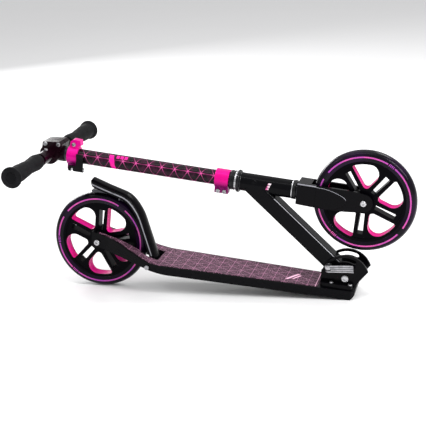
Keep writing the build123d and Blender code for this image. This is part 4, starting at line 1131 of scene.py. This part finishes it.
@dataclass
class FootBrake:
    """Fender that presses its pad on the rear tyre, with a wound spring on its pin."""

    hardware: Hardware
    edge: tuple[float, float] = (0.685, 0.745)
    crown: Colour = (0.9, 0.0, 0.43)
    coil_radius: float = 0.004
    wire: float = 0.0009
    turns: int = 6

    def build(self) -> None:
        """Wind the spring and dress the fender, pad, rivets and pin."""
        # gloss black with a highlight painted along the rounded edges of its flanks that face
        # crown
        dress_nodes(EdgedPaint("fender_black", Vector(self.crown), *self.edge, 0.9,
                               0.22).build(), ["fender"])
        dress_nodes(self.hardware.dark, ["brake_pad", "brake_rivets"])
        dress_nodes(self.hardware.zinc, ["fender_pin", "fender_nut", "torsion_spring"])
        self.wind_spring()

    def wind_spring(self) -> None:
        """Wind the coil along the brake's pin."""
        low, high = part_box("torsion_spring")
        middle = (low + high) / 2
        length = high.y - low.y - 2 * self.wire
        deselect_all()
        bpy.ops.mesh.primitive_circle_add(vertices=10, radius=self.wire, fill_type="NOTHING",
                                          location=(self.coil_radius, 0, 0),
                                          rotation=(math.pi / 2, 0, 0))
        coil = bpy.context.object
        coil.name = "brake_spring_coil"
        coil.data.name = coil.name
        bpy.ops.object.transform_apply(location=True, rotation=True, scale=True)
        wind = coil.modifiers.new("wind", "SCREW")
        wind.axis = "Z"
        wind.screw_offset = length / self.turns
        wind.iterations = self.turns
        wind.steps = wind.render_steps = 28
        wind.use_normal_calculate = True
        bpy.ops.object.modifier_apply(modifier=wind.name)
        bpy.ops.object.mode_set(mode="EDIT")
        bpy.ops.mesh.select_all(action="SELECT")
        bpy.ops.mesh.fill_holes(sides=0)
        settle(coil, 60)
        coil.matrix_world = (Matrix.Translation((middle.x, low.y + self.wire, middle.z))
                             @ Matrix.Rotation(-math.pi / 2, 4, "X"))
        bpy.ops.object.transform_apply(location=True, rotation=True, scale=True)
        dress(coil, self.hardware.zinc)
        place_piece(coil, "deck", "steel", "torsion_spring")


@dataclass
class Deck:
    """Extruded deck with two arms, grip tape and an end cap."""

    layout: Layout
    paint: PowderCoat = PowderCoat("deck_black", (0.0020, 0.0020, 0.0028), 0.24)
    cap: MouldedPlastic = MouldedPlastic("cap_plastic", (0.0022, 0.0022, 0.003), 0.3)

    def build(self) -> None:
        """Dress the deck, its tape and its cap."""
        dress_nodes(self.paint.build(), ["deck"])
        dress_nodes(GritTape(self.layout).build(), ["grip_tape"])
        dress_nodes(self.cap.build(), ["deck_end_cap"])


@dataclass
class FoldJoint:
    """Bracket on the deck with its pivot, skewer and quick release lever."""

    layout: Layout
    hardware: Hardware
    lever_tilt: float = 8.0
    paint: PowderCoat = PowderCoat("bracket_black", (0.0018, 0.0016, 0.0024), 0.18)

    def build(self) -> None:
        """Dress the bracket, its lever and its hardware."""
        dress_nodes(self.paint.build(), ["fold_bracket"])
        tilt = math.radians(self.lever_tilt)
        across = (self.layout.deck_up * math.cos(tilt)
                  - self.layout.deck_along * math.sin(tilt))
        low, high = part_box("fold_lever_pin")
        dress_nodes(GroovedLever("grooved_lever", (low + high) / 2, across).build(),
                    ["fold_lever"])
        dress_nodes(self.hardware.bright, [
            "fold_lever_pin", "fold_skewer", "fold_skewer_nut", "fold_cam_washer",
            "fold_pivot_bolt", "fold_pivot_nut", "bracket_screws"])
        dress_nodes(self.hardware.nylon, ["pivot_bush"])


@dataclass
class Neck:
    """Folding neck with its head tube and headset.

    Each headset ring is a turned profile of (radius, place along the stem).
    """

    layout: Layout
    hardware: Hardware
    upper_ring: Profile = (
        (0.0181, 0.2616), (0.0198, 0.2616), (0.0202, 0.2622), (0.0205, 0.2632),
        (0.0226, 0.2639), (0.0236, 0.2649), (0.0240, 0.2663), (0.0240, 0.2683),
        (0.0236, 0.2697), (0.0226, 0.2707), (0.0211, 0.2713), (0.0211, 0.2722),
        (0.0206, 0.2725), (0.0181, 0.2725))
    lower_ring: Profile = (
        (0.0181, 0.1425), (0.0198, 0.1425), (0.0204, 0.1431), (0.0205, 0.1440),
        (0.0205, 0.1480), (0.0203, 0.1489), (0.0197, 0.1495), (0.0196, 0.1503),
        (0.0202, 0.1507), (0.0203, 0.1512), (0.0203, 0.1520), (0.0199, 0.1524),
        (0.0181, 0.1524))
    upper_line: tuple[float, float] = (0.2712, 0.2724)
    lower_line: tuple[float, float] = (0.1506, 0.1523)

    def build(self) -> None:
        """Turn both rings and dress the neck."""
        turn_ring("headset_ring_upper", self.upper_ring, self.upper_line, self.layout,
                  "neck", "headset_upper_cup")
        turn_ring("headset_ring_lower", self.lower_ring, self.lower_line, self.layout,
                  "neck", "headset_lower_cup")
        dress_nodes(HeadTubePaint(self.layout).build(), ["neck"])
        dress_nodes(self.hardware.dark, ["headset_bearings"])


@dataclass
class Fork:
    """Crown with two blades, and the steerer pressed into it."""

    layout: Layout
    hardware: Hardware
    edge: tuple[float, float] = (0.45, 0.85)

    def build(self) -> None:
        """Dress the fork and its steerer."""
        # gloss black with a highlight painted along the blades' rounded upper edges
        dress_nodes(EdgedPaint("fork_black", self.layout.stem_up, *self.edge, 0.8).build(),
                    ["fork"])
        dress_nodes(self.hardware.dark, ["steerer", "crown_race"])


@dataclass
class Stem:
    """Printed stem tube with its collar, two clamps and a quick release."""

    layout: Layout
    hardware: Hardware
    lower_clamp_at: float = 0.3027
    upper_clamp_at: float = 0.6415
    collar: Profile = (
        (0.0141, 0.2727), (0.0202, 0.2727), (0.0208, 0.2732), (0.0210, 0.2739),
        (0.0210, 0.2772), (0.0203, 0.2779), (0.0203, 0.2795), (0.0210, 0.2802),
        (0.0210, 0.2844), (0.0207, 0.2851), (0.0201, 0.2855), (0.0141, 0.2855))
    collar_line: tuple[float, float] = (0.2728, 0.2741)

    def build(self) -> None:
        """Turn the collar and dress the tube, clamps and lever."""
        turn_ring("stem_collar", self.collar, self.collar_line, self.layout,
                  "steering", "headset_collar")
        dress_nodes(StemPrint(self.layout).build(), ["stem_tube"])
        # each clamp's pink, and a darker pink for its painted shade
        for node, place, bright, painted_shade in (
            ("lower_clamp", self.lower_clamp_at, (0.80, 0.0, 0.25), (0.20, 0.0, 0.11)),
            ("upper_clamp", self.upper_clamp_at, (0.85, 0.0, 0.30), (0.24, 0.0, 0.14)),
        ):
            dress_nodes(Anodised(f"{node}_pink", bright, painted_shade, self.layout.stem_up,
                                 self.layout.on_stem(place)).build(), [node])
        dress_nodes(self.hardware.zinc, ["lower_clamp_bolts"])
        dress_nodes(self.hardware.bright, ["clamp_stop_bolt", "clamp_skewer", "clamp_nut",
                                           "clamp_cam_washer", "clamp_lever_pin"])
        dress_nodes(MouldedPlastic("paddle_plastic", (0.0022, 0.0022, 0.003), 0.2,
                                   0.0009).build(), ["clamp_lever"])
        dress_nodes(self.hardware.nylon, ["mast_bush"])


@dataclass
class Scooter:
    """The whole scooter, built sub-assembly by sub-assembly."""

    layout: Layout

    def wheels(self, hardware: Hardware) -> list[Wheel]:
        """Both wheels, each with the turn of its spokes and ring."""
        return [Wheel(End.REAR, self.layout.rear_axle, hardware, 80.8,
                      (141.0, 180.0, 228.0, 52.0), (180.0, 228.0)),
                Wheel(End.FRONT, self.layout.front_axle, hardware, 45.0,
                      (53.0, 144.0, 227.0, -40.0), (53.0, 227.0))]

    def build(self) -> None:
        """Build every sub-assembly in order, from the floor up."""
        hardware = Hardware.make()
        for assembly in (Deck(self.layout), *self.wheels(hardware), FootBrake(hardware),
                         FoldJoint(self.layout, hardware), Neck(self.layout, hardware),
                         Fork(self.layout, hardware),
                         Stem(self.layout, hardware), Handlebar(self.layout, hardware)):
            assembly.build()
            LOG.info("built %s", type(assembly).__name__)


@dataclass(frozen=True)
class Lamp:
    """One soft light.

    Args:
        name: its name.
        place: its middle.
        aim: the point it faces.
        size: width and height.
        power: in watts.
    """

    name: str
    place: Colour
    aim: Colour
    size: tuple[float, float]
    power: float

    def build(self) -> None:
        """Add the light."""
        data = bpy.data.lights.new(self.name, "AREA")
        data.shape = "RECTANGLE"
        data.size, data.size_y = self.size
        data.energy = self.power
        lamp = bpy.data.objects.new(self.name, data)
        bpy.context.scene.collection.objects.link(lamp)
        lamp.location = self.place
        facing = Vector(self.aim) - Vector(self.place)
        lamp.rotation_euler = facing.to_track_quat("-Z", "Y").to_euler()


@dataclass
class Studio:
    """Floor, lights, surroundings and camera."""

    camera_place: Colour = (0.578957, -2.182072, 0.845272)
    camera_aim: Colour = (-0.027878, 0.0, 0.171241)
    camera_roll: float = -3.4126
    lens: float = 92.96
    floor_size: float = 40.0
    world: Colour = (0.95, 0.95, 0.96)
    world_strength: float = 0.68

    def add_camera(self) -> None:
        """Stand the camera at its place, turned to its aim and rolled."""
        data = bpy.data.cameras.new("view")
        data.lens = self.lens
        data.sensor_width = 36.0
        camera = bpy.data.objects.new("view", data)
        bpy.context.scene.collection.objects.link(camera)
        back = (Vector(self.camera_place) - Vector(self.camera_aim)).normalized()
        level = Vector((0, 0, 1)).cross(back).normalized()
        up = back.cross(level)
        roll = math.radians(self.camera_roll)
        right = level * math.cos(roll) + up * math.sin(roll)
        top = up * math.cos(roll) - level * math.sin(roll)
        turn = Matrix((right, top, back)).transposed().to_4x4()
        camera.matrix_world = Matrix.Translation(self.camera_place) @ turn
        bpy.context.scene.camera = camera

    def add_floor(self) -> None:
        """Lay the floor."""
        deselect_all()
        bpy.ops.mesh.primitive_plane_add(size=self.floor_size, location=(0, 0, -0.0002))
        floor = bpy.context.object
        floor.name = "studio_floor"
        bpy.ops.object.transform_apply(location=True, rotation=True, scale=True)
        dress(floor, StudioFloor().build())

    def add_world(self) -> None:
        """Surround the studio with an even pale light."""
        world = bpy.data.worlds.new("studio")
        world.use_nodes = True
        background = world.node_tree.nodes["Background"]
        background.inputs["Color"].default_value = (*self.world, 1.0)
        background.inputs["Strength"].default_value = self.world_strength
        bpy.context.scene.world = world
        # colours show as they are, with no film curve
        bpy.context.scene.view_settings.view_transform = "Standard"

    def build(self) -> None:
        """Set up the whole studio."""
        self.add_camera()
        self.add_floor()
        self.add_world()
        for lamp in (
            Lamp("overhead", (-0.4, 0.6, 3.2), (0.0, 0.4, 0.0), (4.5, 3.5), 36.0),
            Lamp("key", (-1.6, -1.2, 2.0), (0.0, 0.0, 0.15), (0.7, 0.3), 6.0),
            Lamp("strip_side", (1.8, -0.9, 1.5), (0.1, 0.0, 0.15), (0.12, 1.5), 34.0),
            Lamp("strip_top", (-0.1, -0.65, 2.1), (0.0, 0.0, 0.2), (1.6, 0.06), 4.0),
            Lamp("back_left", (-2.2, 2.3, 1.2), (0.0, 0.0, 0.2), (1.6, 0.8), 46.0),
            Lamp("back_right", (1.3, 1.9, 2.5), (0.2, 0.0, 0.2), (1.2, 0.5), 20.0),
        ):
            lamp.build()
            LOG.info("light %s", lamp.name)


def main() -> None:
    """Build the studio and the scooter."""
    logging.basicConfig(level=logging.INFO, format="%(name)s: %(message)s")
    Studio().build()
    Scooter(read_layout()).build()
    deselect_all()


if __name__ == "__main__":
    main()
